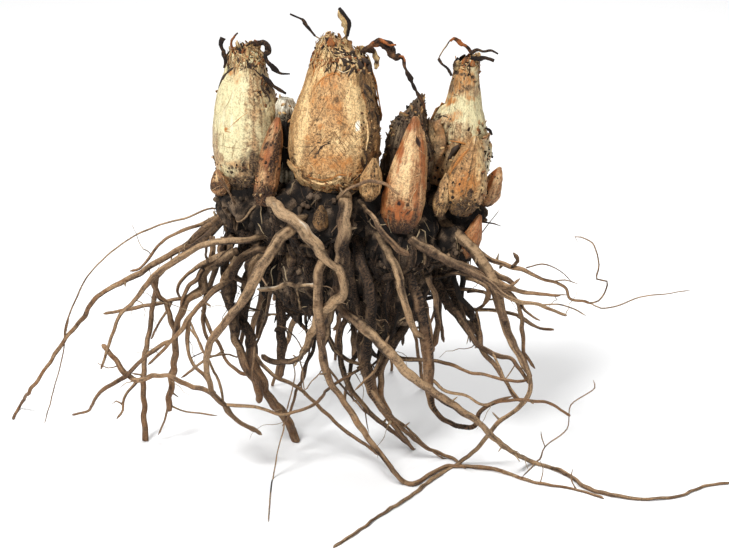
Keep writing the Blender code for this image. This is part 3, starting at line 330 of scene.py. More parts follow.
# Dried leaf strands: marks, widths in mm, then points of the front view as the roots have them
DARK, BROKEN, ORANGE, TAN, GREENISH = (
    (0, 0.3, 1.5), (0.3, 0.5, 0.9), (0.1, 0.8, 0.5), (0.8, 0.1, 0.2), (0.6, 0.1, 0.5))
STRANDS = {
    "dry_leaves_left": (
        (DARK, (1.7, 1.9, 1.4, 1.2, 0.9), (
            (223, 38, -4), (221, 45, -4), (223, 53, -5), (225, 60, -5), (224, 68, -6))),
        (ORANGE, (0.5, 0.7, 0.9, 1.2), ((238, 33, -5), (234, 37, -5), (231, 43, -4), (233, 52, -3))),
        (DARK, (1.4, 2.2, 2.4, 2.0, 2.6, 2.2, 1.0, 0.7), (
            (253, 45, -2), (262, 43, -3), (268, 50, -6), (265, 57, -7), (270, 64, -8), (275, 71, -8),
            (281, 74, -8), (290, 74, -8))),
        (ORANGE, (0.5, 0.9, 1.1, 0.7), ((246, 46, -5), (254, 42, -6), (263, 43, -7), (268, 49, -7))),
        (DARK, (1.0, 1.6, 1.4, 1.4, 0.8), (
            (262, 74, -7), (268, 80, -8), (274, 86, -8), (281, 91, -8), (286, 94, -8))),
    ),
    "dry_leaves_middle": (
        (DARK, (0.5, 0.8, 1.1, 1.1, 0.7), (
            (290, 14, -12), (297, 17, -12), (302, 20, -12), (308, 28, -12), (315, 36, -12))),
        (TAN, (0.4, 0.4, 0.5), ((314, 35, -12), (320, 39, -11), (326, 42, -10))),
        (TAN, (0.6, 1.8, 2.6, 2.2, 1.0, 0.5), (
            (339, 9, -12), (340, 15, -12), (343, 22, -12), (345, 28, -12), (346, 34, -12), (347, 45, -12))),
        (DARK, (0.9, 1.3, 1.6, 1.3, 1.0), (
            (339, 8, -12), (343, 13, -13), (348, 21, -13), (348, 28, -13), (347, 36, -13))),
        (BROKEN, (1.6, 2.2, 2.4, 3.0, 3.8, 2.8, 1.4, 1.2, 2.0, 1.4, 1.2, 1.5, 1.0), (
            (356, 56, -12), (365, 50, -12), (373, 44, -12), (382, 43, -12), (389, 49, -12), (395, 56, -12),
            (403, 59, -12), (405, 67, -12), (409, 76, -12), (413, 85, -12), (418, 95, -12), (422, 103, -12),
            (424, 109, -12))),
        (ORANGE, (0.8, 1.6, 1.0, 0.6), ((372, 44, -13), (381, 40, -13), (388, 45, -14), (396, 45, -13))),
        (ORANGE, (0.6, 0.9, 0.5), ((398, 57, -13), (403, 57, -13), (405, 62, -13))),
        (TAN, (1.6, 2.4, 2.0, 1.0), ((368, 50, -10), (375, 54, -9), (377, 61, -9), (375, 69, -9))),
    ),
    "dry_leaves_right": (
        (ORANGE, (1.1, 1.5, 1.5, 1.3, 1.0), (
            (471, 52, 0), (466, 46, -1), (460, 42, -2), (454, 38, -3), (450, 41, -3))),
        (GREENISH, (0.5, 0.4, 0.5), ((450, 41, -3), (442, 52, -4), (438, 59, -4))),
        (DARK, (1.0, 0.9, 1.1, 1.2), ((438, 59, -4), (443, 65, -5), (448, 70, -5), (451, 76, -5))),
        (GREENISH, (1.2, 1.4, 1.0, 0.9, 0.5), (
            (470, 54, -1), (477, 50, -1), (484, 52, -2), (491, 51, -2), (498, 54, -3))),
        (DARK, (1.8, 2.0, 1.6, 1.2), ((471, 57, -2), (479, 59, -2), (486, 58, -2), (494, 61, -2))),
        (DARK, (0.5, 1.0, 0.8), ((485, 128, -11), (489, 130, -11), (492, 135, -11))),
    ),
}
STRAND_FACING = Vector((0.15, -1, 0.2))
# Under each stump: its bulb, how many torn leaf ends stand on it, and their longest in mm
STUMPS = {
    "dry_leaves_left": ("bulb_left", 7, 2.4), "dry_leaves_middle": ("bulb_middle", 7, 1.5),
    "dry_leaves_right": ("bulb_right", 5, 1.6),
}

# The tangle of roots under the crown, in mm, inside which soil and painted shade darken everything
TANGLE_MIDDLE = np.array((-6, 2, 80))
TANGLE_REACH = np.array((78, 60, 62))
RING_PITCH = 1.25             # mm between the wrinkle rings of a ringed root
BEND_LENGTH, BEND = 5.0, 0.5  # mm between the small bends of a root, and their size as a share of its girth
STOUT, SLIMMER = 1.8, 0.2     # the seen roots lose this share of their girth over this many mm to the furrows
# How deep a root's furrows, bark and wrinkle rings are, as shares of its radius
FURROW, BARK, WRINKLE = 0.24, 0.07, 0.1
TWIST_LENGTH = 70             # mm along a root over which its furrows turn by one radian
PIT = 0.35                    # mm that dark marks are sunk in a skin
# For roots over each girth in mm: sides, and mm between rings
ROOT_DETAIL = ((3.4, 14, 1.0), (2.0, 12, 1.1), (1.1, 8, 1.5), (0, 6, 2.0))
RINGED_SPACING = 0.42         # mm between the rings of corners on a ringed root
THREAD_SPACING = 1.6          # the same on a thread
LEAF_SPACING = 0.8            # and on a leaf strip
# How many times as far apart they are on roots that show little
BACK_COARSE, TANGLE_COARSE, BASE_COARSE = 1.3, 1.3, 1.7
# Faces around and up
CROWN_FACES, CRUMB_FACES, OLD_FACES = (76, 46), (5, 4), (120, 90)
STOUT_OFFSET, STOUT_FACES, SLIM_FACES = 14, (120, 100), (84, 64)  # offsets over that girth in mm have more
SCRAP_GRID = 26               # corners to a side of a scrap of tunic
NECK = 0.46                   # width of a bulb's torn neck as a share of its girth

# How a root differs from the others: its share of pale, its share of russet, and how ringed it is. The share of
# pale is partly the root's own tone and partly painted light and shade: higher for roots that lie in the light,
# lower for those in shade.
ROOT_LOOKS = {
    "crossing": (0.9, 0.1, 0), "left_stay": (0.5, 0.1, 0), "upright": (0.55, 0.1, 0),
    "ringed_middle": (0.25, 0.25, 1.3), "right_runner": (0.5, 0.15, 0), "right_pale": (0.8, 0.1, 0),
    "ringed_right": (0.15, 0.35, 1.4), "right_shoulder": (0.5, 0.1, 0), "right_reach": (0.55, 0.1, 0),
    "right_dark": (0.25, 0.1, 0.4), "right_dark_twin": (0.15, 0.1, 0.3), "right_dark_third": (0.1, 0.1, 0),
    "right_inner": (0.3, 0.1, 0), "cross_low": (0.25, 0.25, 0), "left_runner": (0.5, 0.35, 0),
    "left_pale": (0.65, 0.2, 0), "left_dark": (0.25, 0.2, 0), "dark_left": (0.1, 0.15, 0.3),
    "left_post": (0.2, 0.2, 0.3), "dark_fan": (0.1, 0.1, 0), "dark_edge": (0.1, 0.1, 0),
    "dark_middle": (0.0, 0.1, 0), "cross_bar": (1.05, 0.1, 0), "low_bar": (0.6, 0.1, 0),
    "left_prop": (0.3, 0.3, 0), "left_pin": (0.3, 0.3, 0), "front_second": (0.2, 0.2, 0.3),
}
OTHER_LOOK = (0.45, 0.3, 0)
BACK_LOOK = (0.4, 0.2, 0)
# The same for the two lists below, then how strongly soil and painted shade darken them in the tangle
FINE_LOOK, DARK_LOOK = (0.45, 0.2, 0, 1.0), (0.4, 0.25, 0, 0.6)

# Fine roots that show, as the seen roots are
FINE_ROOTS = (
    ((0.9, 0.8, 0.6), ((474, 221, -6), (481, 222, -8), (488, 223, -9), (494, 224, -10), (501, 226, -11))),
    ((0.4, 0.4, 0.3), ((487, 223, -9), (485, 217, -9), (485, 210, -9))),
    ((0.4, 0.4, 0.3), ((475, 244, -8), (479, 237, -9), (486, 227, -9), (494, 217, -9), (500, 209, -9))),
    ((0.8, 0.7, 0.6, 0.5), (
        (224, 211, 6), (212, 208, 8), (189, 217, 10), (160, 225, 12), (129, 239, 14), (98, 264, 16),
        (84, 282, 17), (74, 304, 18), (65, 328, 18), (64, 349, 19), (53, 392, 20), (44, 423, FLOOR))),
    ((0.8, 0.7, 0.6, 0.5), (
        (590, 303, -18), (599, 301, -18), (606, 289, -18), (607, 281, -18), (597, 279, -18), (599, 265, -18),
        (596, 250, -18), (593, 243, -18), (581, 237, -18), (575, 237, -18), (578, 242, -18))),
    ((0.6, 0.5, 0.4), (
        (590, 303, -18), (601, 308, -18), (620, 305, -18), (640, 297, -18), (665, 294, -18),
        (690, 290, -18))),
    ((0.7, 0.4), ((526, 268, -17), (542, 264, -17), (560, 271, -17), (572, 282, -17))),
    ((0.8, 0.5), ((504, 288, -31), (512, 289, -31), (526, 291, -30), (539, 294, -30), (569, 295, -30))),
    ((0.7, 0.5), ((541, 305, -36), (558, 304, -36), (574, 309, -36), (586, 316, -36))),
    ((1.5, 1.8), ((512, 267, -16), (519, 262, -17), (516, 257, -17), (513, 253, -17))),
    ((1.2, 1.0), ((505, 289, -31), (512, 285, -32), (520, 279, -33))),
    ((1.4, 1.2), ((467, 291, -7), (475, 291, -7), (484, 292, -8))),
    ((1.2, 0.9), ((495, 297, -22), (498, 307, -21), (506, 325, -21), (509, 336, -22))),
    ((1.2, 0.8), ((521, 304, -35), (526, 311, -35), (533, 317, -34), (540, 321, -34))),
    ((1.2, 0.8), ((518, 316, -15), (523, 320, -17), (539, 328, -19), (554, 329, -18))),
    ((0.6, 0.5, 0.4), (
        (281, 412, -28), (284, 425, -28), (278, 450, -30), (273, 478, FLOOR), (270, 500, FLOOR),
        (268, 522, FLOOR))),
    ((0.6, 0.5, 0.5), (
        (535, 463, FLOOR), (540, 459, -19), (545, 447, -22), (567, 429, -24), (571, 405, -26),
        (595, 388, -28), (593, 380, -29))),
    ((0.5, 0.4), ((545, 447, -22), (542, 439, -22), (541, 431, -23))),
    ((0.5, 0.4), ((536, 462, -18), (529, 470, -24), (522, 477, FLOOR))),
    ((0.9, 0.6), ((168, 404, 1), (176, 408, 2), (186, 412, 3), (200, 413, 4), (217, 416, 4))),
    ((1.1, 0.8), ((242, 304, 1), (248, 308, -1), (260, 310, -3))),
    ((0.9, 0.7), ((190, 328, -26), (198, 340, -28), (205, 355, -36))),
    ((0.9, 0.7), ((205, 360, -36), (212, 357, -34), (224, 354, -25), (238, 357, -10))),
    ((1.2, 1.9, 2.7), (
        (358, 198, -18), (364, 206, -30), (372, 216, -37), (384, 234, -40), (396, 247, -41),
        (409, 255, -41))),
    ((1.4, 1.0), (
        (430, 378, -36), (446, 392, -37), (463, 394, -37), (483, 405, -38), (496, 401, -38),
        (512, 396, -36))),
    ((2.4, 1.2), ((326, 331, -28), (332, 344, -26), (341, 355, -25), (351, 361, -26), (362, 365, -27))),
    ((0.9, 0.8), ((325, 364, -41), (338, 381, -36), (349, 394, -28), (358, 404, -20), (366, 414, -16))),
    ((1.1, 0.9), (
        (190, 322, -26), (196, 334, -27), (202, 349, -29), (208, 358, -31), (214, 372, -32), (222, 390, -31),
        (226, 411, -30), (245, 426, -28), (256, 432, -27))),
    ((1.0, 0.8), ((479, 347, -14), (484, 354, -14), (491, 361, -14))),
    ((1.3, 0.8), ((492, 352, -16), (499, 366, -20), (504, 379, -24), (513, 392, -27), (522, 402, -29))),
    ((0.6, 0.5), ((500, 367, -21), (504, 380, -24), (514, 366, -22), (516, 361, -21))),
    ((1.0, 0.7), (
        (386, 412, -23), (396, 419, -22), (402, 423, -20), (415, 436, -18), (435, 453, -14),
        (446, 462, -13))),
    ((0.5, 0.4), ((365, 405, -16), (366, 418, -18), (369, 433, -18))),
    ((0.6, 0.5), ((293, 363, -31), (295, 374, -30), (292, 390, -29), (286, 412, -28))),
    ((0.6, 0.4), (
        (300, 361, -34), (302, 368, -33), (305, 390, -31), (312, 381, -32), (319, 374, -33),
        (324, 366, -39))),
    ((0.7, 0.5), ((284, 326, 0), (292, 334, -12), (298, 341, -24), (303, 351, -35))),
    ((0.8, 0.6), ((281, 333, -1), (275, 331, -3), (279, 326, -4), (285, 328, -4), (289, 338, -3))),
    ((1.6, 1.2), ((414, 243, -28), (436, 255, -30), (452, 261, -32), (471, 268, -33), (486, 276, -34))),
    ((1.5, 1.2), (
        (405, 261, -22), (420, 262, -25), (435, 264, -25), (458, 263, -25), (478, 270, -25),
        (490, 280, -24))),
    ((1.6, 1.3), ((434, 278, -7), (444, 275, -12), (456, 273, -16), (475, 276, -21), (488, 280, -24))),
    ((0.8, 0.6), ((357, 368, -28), (362, 365, -28), (371, 364, -25), (377, 373, -20))),
    ((0.8, 0.5), ((224, 350, 5), (214, 356, 2), (205, 352, -8), (191, 358, -26))),
    ((0.7, 0.4), ((123, 405, -22), (116, 401, -22), (112, 404, -22))),
    ((0.7, 0.5), ((64, 341, 18), (66, 331, 17), (69, 318, 16))),
    ((0.6, 0.4), ((118, 366, -20), (108, 368, -19), (96, 362, -18))),
    ((0.6, 0.4), ((550, 282, -18), (565, 280, -18), (578, 284, -18))),
    ((0.5, 0.3), ((540, 484, FLOOR), (542, 477, -38), (543, 468, -39), (540, 460, -40))),
    ((0.6, 0.4), ((576, 490, FLOOR), (571, 478, -42), (573, 468, -43))),
    ((0.6, 0.4), (
        (277, 112, -5), (278, 124, -8), (278, 133, -9), (280, 143, -9), (286, 148, -10), (292, 147, -12))),
    ((0.6, 0.5), ((214, 172, -8), (224, 185, -14), (230, 195, -15), (235, 205, -15))),
    ((0.5, 0.4), ((222, 178, -12), (229, 192, -15), (236, 204, -15))),
)

# Dark roots knotted together at the left, and other dark ones between the seen roots
DARK_ROOTS = (
    ((3.2, 3.4, 3.2, 3.0), (
        (266, 249, -12), (251, 252, -15), (242, 259, -16), (236, 267, -16), (231, 281, -15))),
    ((3.6, 3.6, 3.2, 3.0), ((258, 240, -6), (252, 254, -7), (249, 267, -7), (247, 278, -6), (246, 290, -5))),
    ((3.6, 4.0, 3.6, 3.0), ((263, 246, -8), (258, 260, -8), (254, 272, -8), (250, 284, -8), (247, 296, -8))),
    ((2.2, 2.0), ((229, 275, -10), (238, 279, -9), (246, 282, -9), (252, 288, -9))),
    ((4.0, 4.2, 4.4, 4.0, 3.4, 2.8, 2.4, 2.2), (
        (234, 252, -9), (224, 260, -9), (214, 263, -8), (207, 267, -7), (203, 274, -6), (202, 284, -6),
        (197, 293, -7), (188, 300, -8), (184, 310, -9), (178, 321, -10), (174, 333, -8))),
    ((3.0, 3.0, 2.4, 1.8, 1.4, 1.1, 1.0), (
        (238, 250, -7), (226, 255, -8), (214, 259, -9), (206, 262, -9), (198, 267, -8), (188, 274, -7),
        (180, 282, -6), (178, 291, -5), (180, 298, 0))),
    ((2.2, 1.8, 1.4), ((203, 268, -10), (197, 279, -10), (189, 287, -10), (184, 295, -10), (181, 306, -10))),
    ((3.0, 2.6), ((238, 256, -12), (232, 266, -13), (226, 274, -14), (222, 284, -16))),
    ((2.4, 2.6), ((214, 236, -4), (213, 250, -6), (212, 262, -8))),
    ((2.6, 2.8), ((222, 236, -3), (221, 250, -5), (222, 262, -8))),
    ((2.4, 2.4), ((231, 236, -3), (230, 249, -5), (230, 262, -8))),
    ((1.2, 1.0), ((208, 243, -26), (206, 254, -20), (208, 264, -8))),
    ((1.2, 0.8), ((171, 302, -8), (166, 312, -6), (158, 326, -3), (151, 339, 2))),
    ((1.1, 0.9), ((204, 361, -36), (192, 370, -31), (181, 378, -27))),
    ((1.0, 0.8), ((168, 407, 2), (165, 418, 3), (161, 428, 4), (158, 435, 5))),
    ((2.0, 2.0, 1.6), ((466, 278, -8), (480, 281, -10), (488, 288, -11), (489, 297, -11), (484, 306, -9))),
    ((2.4, 2.0), ((493, 272, -22), (503, 278, -22), (514, 284, -20))),
    ((2.0, 1.6), ((490, 278, -24), (503, 284, -24), (516, 288, -30))),
    ((1.4, 1.5), ((522, 350, -21), (528, 358, -22), (535, 368, -23))),
    ((2.2, 2.4, 2.2, 2.0), (
        (428, 278, -24), (436, 296, -26), (438, 315, -28), (437, 332, -30), (434, 347, -32))),
    ((1.0, 0.8), ((476, 311, -8), (480, 326, -10), (482, 342, -13))),
    ((4.4, 5.2, 5.2, 4.2, 2.0), (
        (367, 318, -26), (364, 342, -23), (366, 366, -21), (371, 384, -20), (379, 403, -19))),
    ((2.8, 2.6, 1.8), ((388, 354, -18), (382, 370, -18), (380, 388, -18), (384, 404, -18), (391, 416, -20))),
)

# Spots on the bulbs and offsets: pale skin, russet stains and soil, and on the middle bulb a painted highlight and
# painted shade
MARKS = {
    "bulb_middle": {
        "pale": (
            (302, 130, 5, 40, 8, 0.5), (350, 95, 4, 12, 0, 0.7), (356, 112, 9, 26, 0, 0.65),
            # (358, 126) is a painted highlight, a small white spot.
            (358, 126, 2.2, 5, 5, 2.6), (330, 184, 16, 3, 0, 0.9), (341, 177, 4, 1.5, 0, 1.5),
            (345, 145, 14, 14, 0, 0.35), (346, 58, 16, 10, 0, 1.0), (322, 60, 8, 16, 12, 0.75)),
        "russet": (
            (330, 84, 10, 10, 0, 0.5), (328, 104, 10, 14, 10, 0.4), (330, 163, 20, 12, 0, 0.5),
            (321, 127, 4, 4, 0, 0.8), (314, 92, 4, 14, 10, 0.4), (346, 128, 6, 12, 0, 0.3),
            (366, 95, 6, 5, 0, 0.6), (317, 62, 5, 14, 10, 0.5), (338, 112, 5, 14, -10, 0.45),
            (311, 140, 8, 6, 0, 0.35)),
        "soil": (
            (336, 100, 3, 3, 0, 0.5), (326, 112, 3, 4, 0, 0.45), (316, 120, 3, 3, 0, 0.5),
            (333, 124, 3, 3, 0, 0.45), (350, 150, 4, 8, 30, 0.35), (308, 150, 6, 10, 0, 0.35),
            (330, 62, 3, 4, 0, 0.9), (346, 66, 4, 3, 0, 1.0), (324, 143, 1.6, 0.9, -35, 1.4),
            (321, 148, 1.4, 1.0, -35, 1.4), (318, 153, 1.5, 1.5, 0, 1.2), (321, 136, 1.5, 1.5, 0, 1.0),
            # (376, 105) and (380, 155) paint the shade down the middle bulb's right side, and (367, 68) the shade
            # in a hole in its neck.
            (317, 134, 1.5, 1.5, 0, 1.0), (315, 157, 1.5, 1.5, 0, 1.0), (376, 105, 7, 40, -5, 0.8),
            (380, 155, 9, 30, 0, 1.3), (367, 68, 7, 9, 0, 1.3), (364, 165, 2, 10, -20, 1.0),
            (356, 178, 8, 2, -40, 1.0), (373, 152, 1.5, 6, 0, 1.3), (344, 184, 3, 1.5, 0, 1.2),
            (372, 116, 1.5, 14, 0, 0.7), (329, 70, 1.5, 2, 0, 1.2), (340, 66, 1.5, 2, 0, 1.0),
            (348, 69, 1.5, 4, 15, 1.2), (300, 185, 10, 4, 0, 0.7), (328, 189, 24, 3.5, 0, 1.1),
            (338, 194, 26, 4, 0, 1.5)),
    },
    "bulb_left": {
        "pale": (
            (231, 116, 16, 46, -4, 1.0), (240, 138, 13, 26, 0, 0.6), (238, 84, 11, 14, 0, 0.8),
            (246, 52, 16, 12, 0, 1.0), (224, 172, 12, 9, 0, 0.5), (263, 128, 7, 26, 5, 0.4)),
        "russet": (
            (238, 76, 6, 9, 20, 0.45), (232, 72, 5, 3, -40, 0.5), (226, 129, 2, 2, 0, 0.9),
            (260, 112, 6, 14, 10, 0.3), (240, 164, 16, 5, 0, 0.35), (216, 166, 5, 5, 0, 0.45)),
        "soil": (
            (248, 182, 14, 8, 0, 0.5), (252, 66, 4, 3, 0, 1.6), (251, 46, 2, 2, 0, 1.4),
            (258, 42, 2, 2, 0, 1.4), (245, 56, 1.5, 2, 0, 1.3), (261, 52, 3, 5, 0, 1.0),
            (236, 46, 1.5, 3, 0, 1.0), (264, 104, 6, 22, 10, 0.35), (268, 88, 6, 8, -30, 0.8),
            (258, 97, 2, 1, 0, 1.2), (266, 96, 2, 1, 0, 1.2), (252, 164, 14, 12, 0, 0.65),
            (222, 171, 12, 9, 0, -0.25), (262, 128, 5, 20, 0, 0.15), (242, 52, 14, 9, 0, 0.1)),
    },
    "bulb_right": {
        "pale": (
            (458, 108, 22, 13, 0, 0.9), (474, 76, 4, 12, 0, 0.4), (478, 120, 10, 16, 0, 0.8),
            (486, 165, 6, 30, 0, 0.8)),
        "russet": (
            (462, 80, 16, 16, 0, 0.45), (450, 101, 7, 4, -20, 0.7), (470, 98, 6, 3, 10, 0.5),
            (452, 117, 12, 5, -20, 0.5), (452, 90, 8, 8, 0, 0.5), (462, 150, 14, 16, 0, 0.35)),
        "soil": (
            (464, 80, 14, 14, 0, 0.05), (455, 72, 3, 3, 0, 0.8), (470, 88, 4, 3, 0, 0.7),
            (466, 64, 5, 2, 0, 1.2), (473, 77, 1.5, 1.5, 0, 1.5), (440, 165, 10, 20, 0, 0.35),
            (442, 148, 18, 18, 0, 0.2), (451, 88, 5, 6, 0, 0.7), (475, 60, 10, 8, 0, 0.3)),
    },
    "offset_front": {
        "pale": ((404, 163, 11, 28, 5, 0.65), (412, 136, 3, 6, 0, 0.5)),
        "russet": (
            (400, 152, 3, 16, 10, 0.5), (423, 160, 3, 30, -3, 0.4), (400, 222, 18, 14, 0, 0.95),
            (383, 200, 4, 26, 10, 0.4), (400, 205, 6, 5, 0, 0.8), (411, 124, 10, 7, 0, 0.4),
            (416, 200, 4, 16, 0, 0.3)),
        "soil": (
            (418, 142, 1.8, 4, -15, 1.6), (399, 204, 2.2, 1.8, 0, 1.4), (408, 205, 2, 1.8, 0, 1.4),
            (402, 230, 16, 7, 0, 0.5), (390, 215, 6, 4, 0, 0.4), (413, 218, 4, 8, 0, 0.4),
            (395, 222, 5, 3, 0, 0.5), (405, 121, 8, 4, 0, 0.5)),
    },
    "offset_right": {
        "pale": ((476, 140, 3, 5, 0, 1.2), (481, 166, 5, 26, 0, 0.9)),
        "russet": ((459, 160, 10, 2, -50, 1.0), (465, 185, 12, 12, 0, 0.5)),
        "soil": ((466, 205, 12, 6, 0, 0.9), (470, 195, 3, 4, 0, 0.8), (455, 165, 3, 10, 20, 0.5)),
    },
    "offset_slim": {
        "pale": ((271, 134, 3, 14, 14, 0.5), (264, 176, 4, 8, 0, 0.5), (263, 150, 2.5, 8, 0, 0.4)),
        "russet": ((277, 122, 3, 8, 14, 0.4), (266, 158, 5, 10, 0, 0.4)),
        "soil": (
            (257, 146, 2, 12, 12, 1.4), (276, 154, 3, 22, 10, 0.9), (266, 192, 9, 6, 0, 1.0),
            (258, 168, 2, 5, 0, 0.8), (271, 164, 2, 6, 20, 0.8), (266, 146, 1.5, 5, 30, 0.7)),
    },
    "offset_sliver": {
        "soil": ((437, 190, 2, 16, 0, 0.9), (450, 190, 2, 16, 0, 0.8), (444, 206, 6, 4, 0, 0.8)),
    },
    "offset_edge": {"pale": ((497, 180, 3, 6, 20, 0.7),), "russet": ((492, 178, 2, 12, 20, 0.6),)},
    "offset_corner": {"pale": ((214, 178, 5, 4, 0, 0.5),), "soil": ((216, 186, 6, 4, 0, 0.8),)},
    "offset_bud": {"russet": ((311, 197, 4, 4, 0, 0.8),), "soil": ((318, 216, 8, 8, 0, 0.5),)},
    "old_bulb_pale": {
        "pale": ((287, 103, 14, 10, 0, 1.2),), "russet": ((283, 92, 5, 4, 0, 0.5),),
        "soil": ((286, 142, 16, 26, 0, 1.8),),
    },
}

# Holes, cracks and specks at random in the skins, as dabs() has them
DABS = {
    "bulb_left": (
        (30, 1.7, (-20, 60), 1.7, ((228, 40), (266, 40), (268, 66), (229, 68))),
        (26, 1.2, (-60, 60), 1.4, ((252, 82), (268, 84), (275, 106), (255, 112))),
        (20, 1.0, (-30, 30), 0.6, ((246, 110), (262, 108), (266, 140), (250, 150))),
        (16, 0.8, (-30, 30), 0.5, ((214, 174), (250, 160), (252, 190), (218, 190))),
    ),
    "bulb_middle": (
        (30, 2.8, (10, 60), 2.0, ((328, 42), (362, 52), (372, 76), (350, 76), (332, 64))),
        (12, 1.8, (-60, 60), 1.2, ((313, 62), (326, 45), (330, 66), (312, 84))),
        (60, 2.4, (-40, 70), 1.9, ((366, 66), (378, 84), (386, 140), (374, 160), (367, 120))),
        (40, 1.3, (-60, 60), 0.9, ((312, 90), (350, 90), (350, 160), (312, 160))),
        (14, 1.6, (-60, 60), 1.9, ((313, 124), (330, 126), (330, 150), (312, 160))),
        (30, 2.0, (-20, 20), 0.9, ((290, 150), (310, 150), (318, 186), (296, 186))),
        (18, 1.5, (-60, 60), 1.8, ((360, 150), (372, 150), (366, 176), (352, 186))),
    ),
    "bulb_right": (
        (40, 2.2, (-80, 80), 0.9, ((452, 60), (480, 60), (482, 92), (446, 96))),
        (110, 2.6, (-60, 60), 0.9, ((430, 112), (450, 116), (456, 142), (444, 180), (428, 176))),
        (20, 1.6, (-60, 60), 1.0, ((484, 128), (492, 128), (490, 160), (484, 160))),
    ),
    "offset_front": (
        (26, 2.2, (-40, 40), 0.8, ((382, 198), (416, 200), (418, 226), (400, 236), (382, 222))),
        (16, 1.3, (40, 80), 0.5, ((390, 140), (420, 140), (418, 196), (386, 196))),
    ),
    "offset_right": ((24, 1.3, (-80, -30), 0.7, ((450, 176), (472, 144), (476, 206), (454, 206))), (
        12, 1.6, (70, 90), 0.6, ((476, 140), (486, 150), (486, 190), (476, 196)))),
    "offset_slim": ((26, 1.8, (50, 90), 1.4, ((252, 150), (262, 150), (264, 190), (252, 190))), (
        26, 1.6, (50, 90), 1.4, ((268, 130), (280, 124), (282, 160), (270, 188)))),
    "offset_sliver": ((14, 1.4, (60, 90), 1.3, ((436, 170), (450, 166), (450, 205), (438, 205))),),
    "offset_edge": ((12, 1.4, (40, 90), 1.2, ((485, 170), (502, 168), (500, 200), (486, 200))),),
    "offset_notch": ((24, 1.5, (20, 80), 1.3, ((360, 155), (382, 155), (382, 200), (360, 200))),),
    "offset_corner": ((14, 1.6, (-40, 40), 1.2, ((208, 172), (226, 172), (226, 194), (208, 194))),),
}

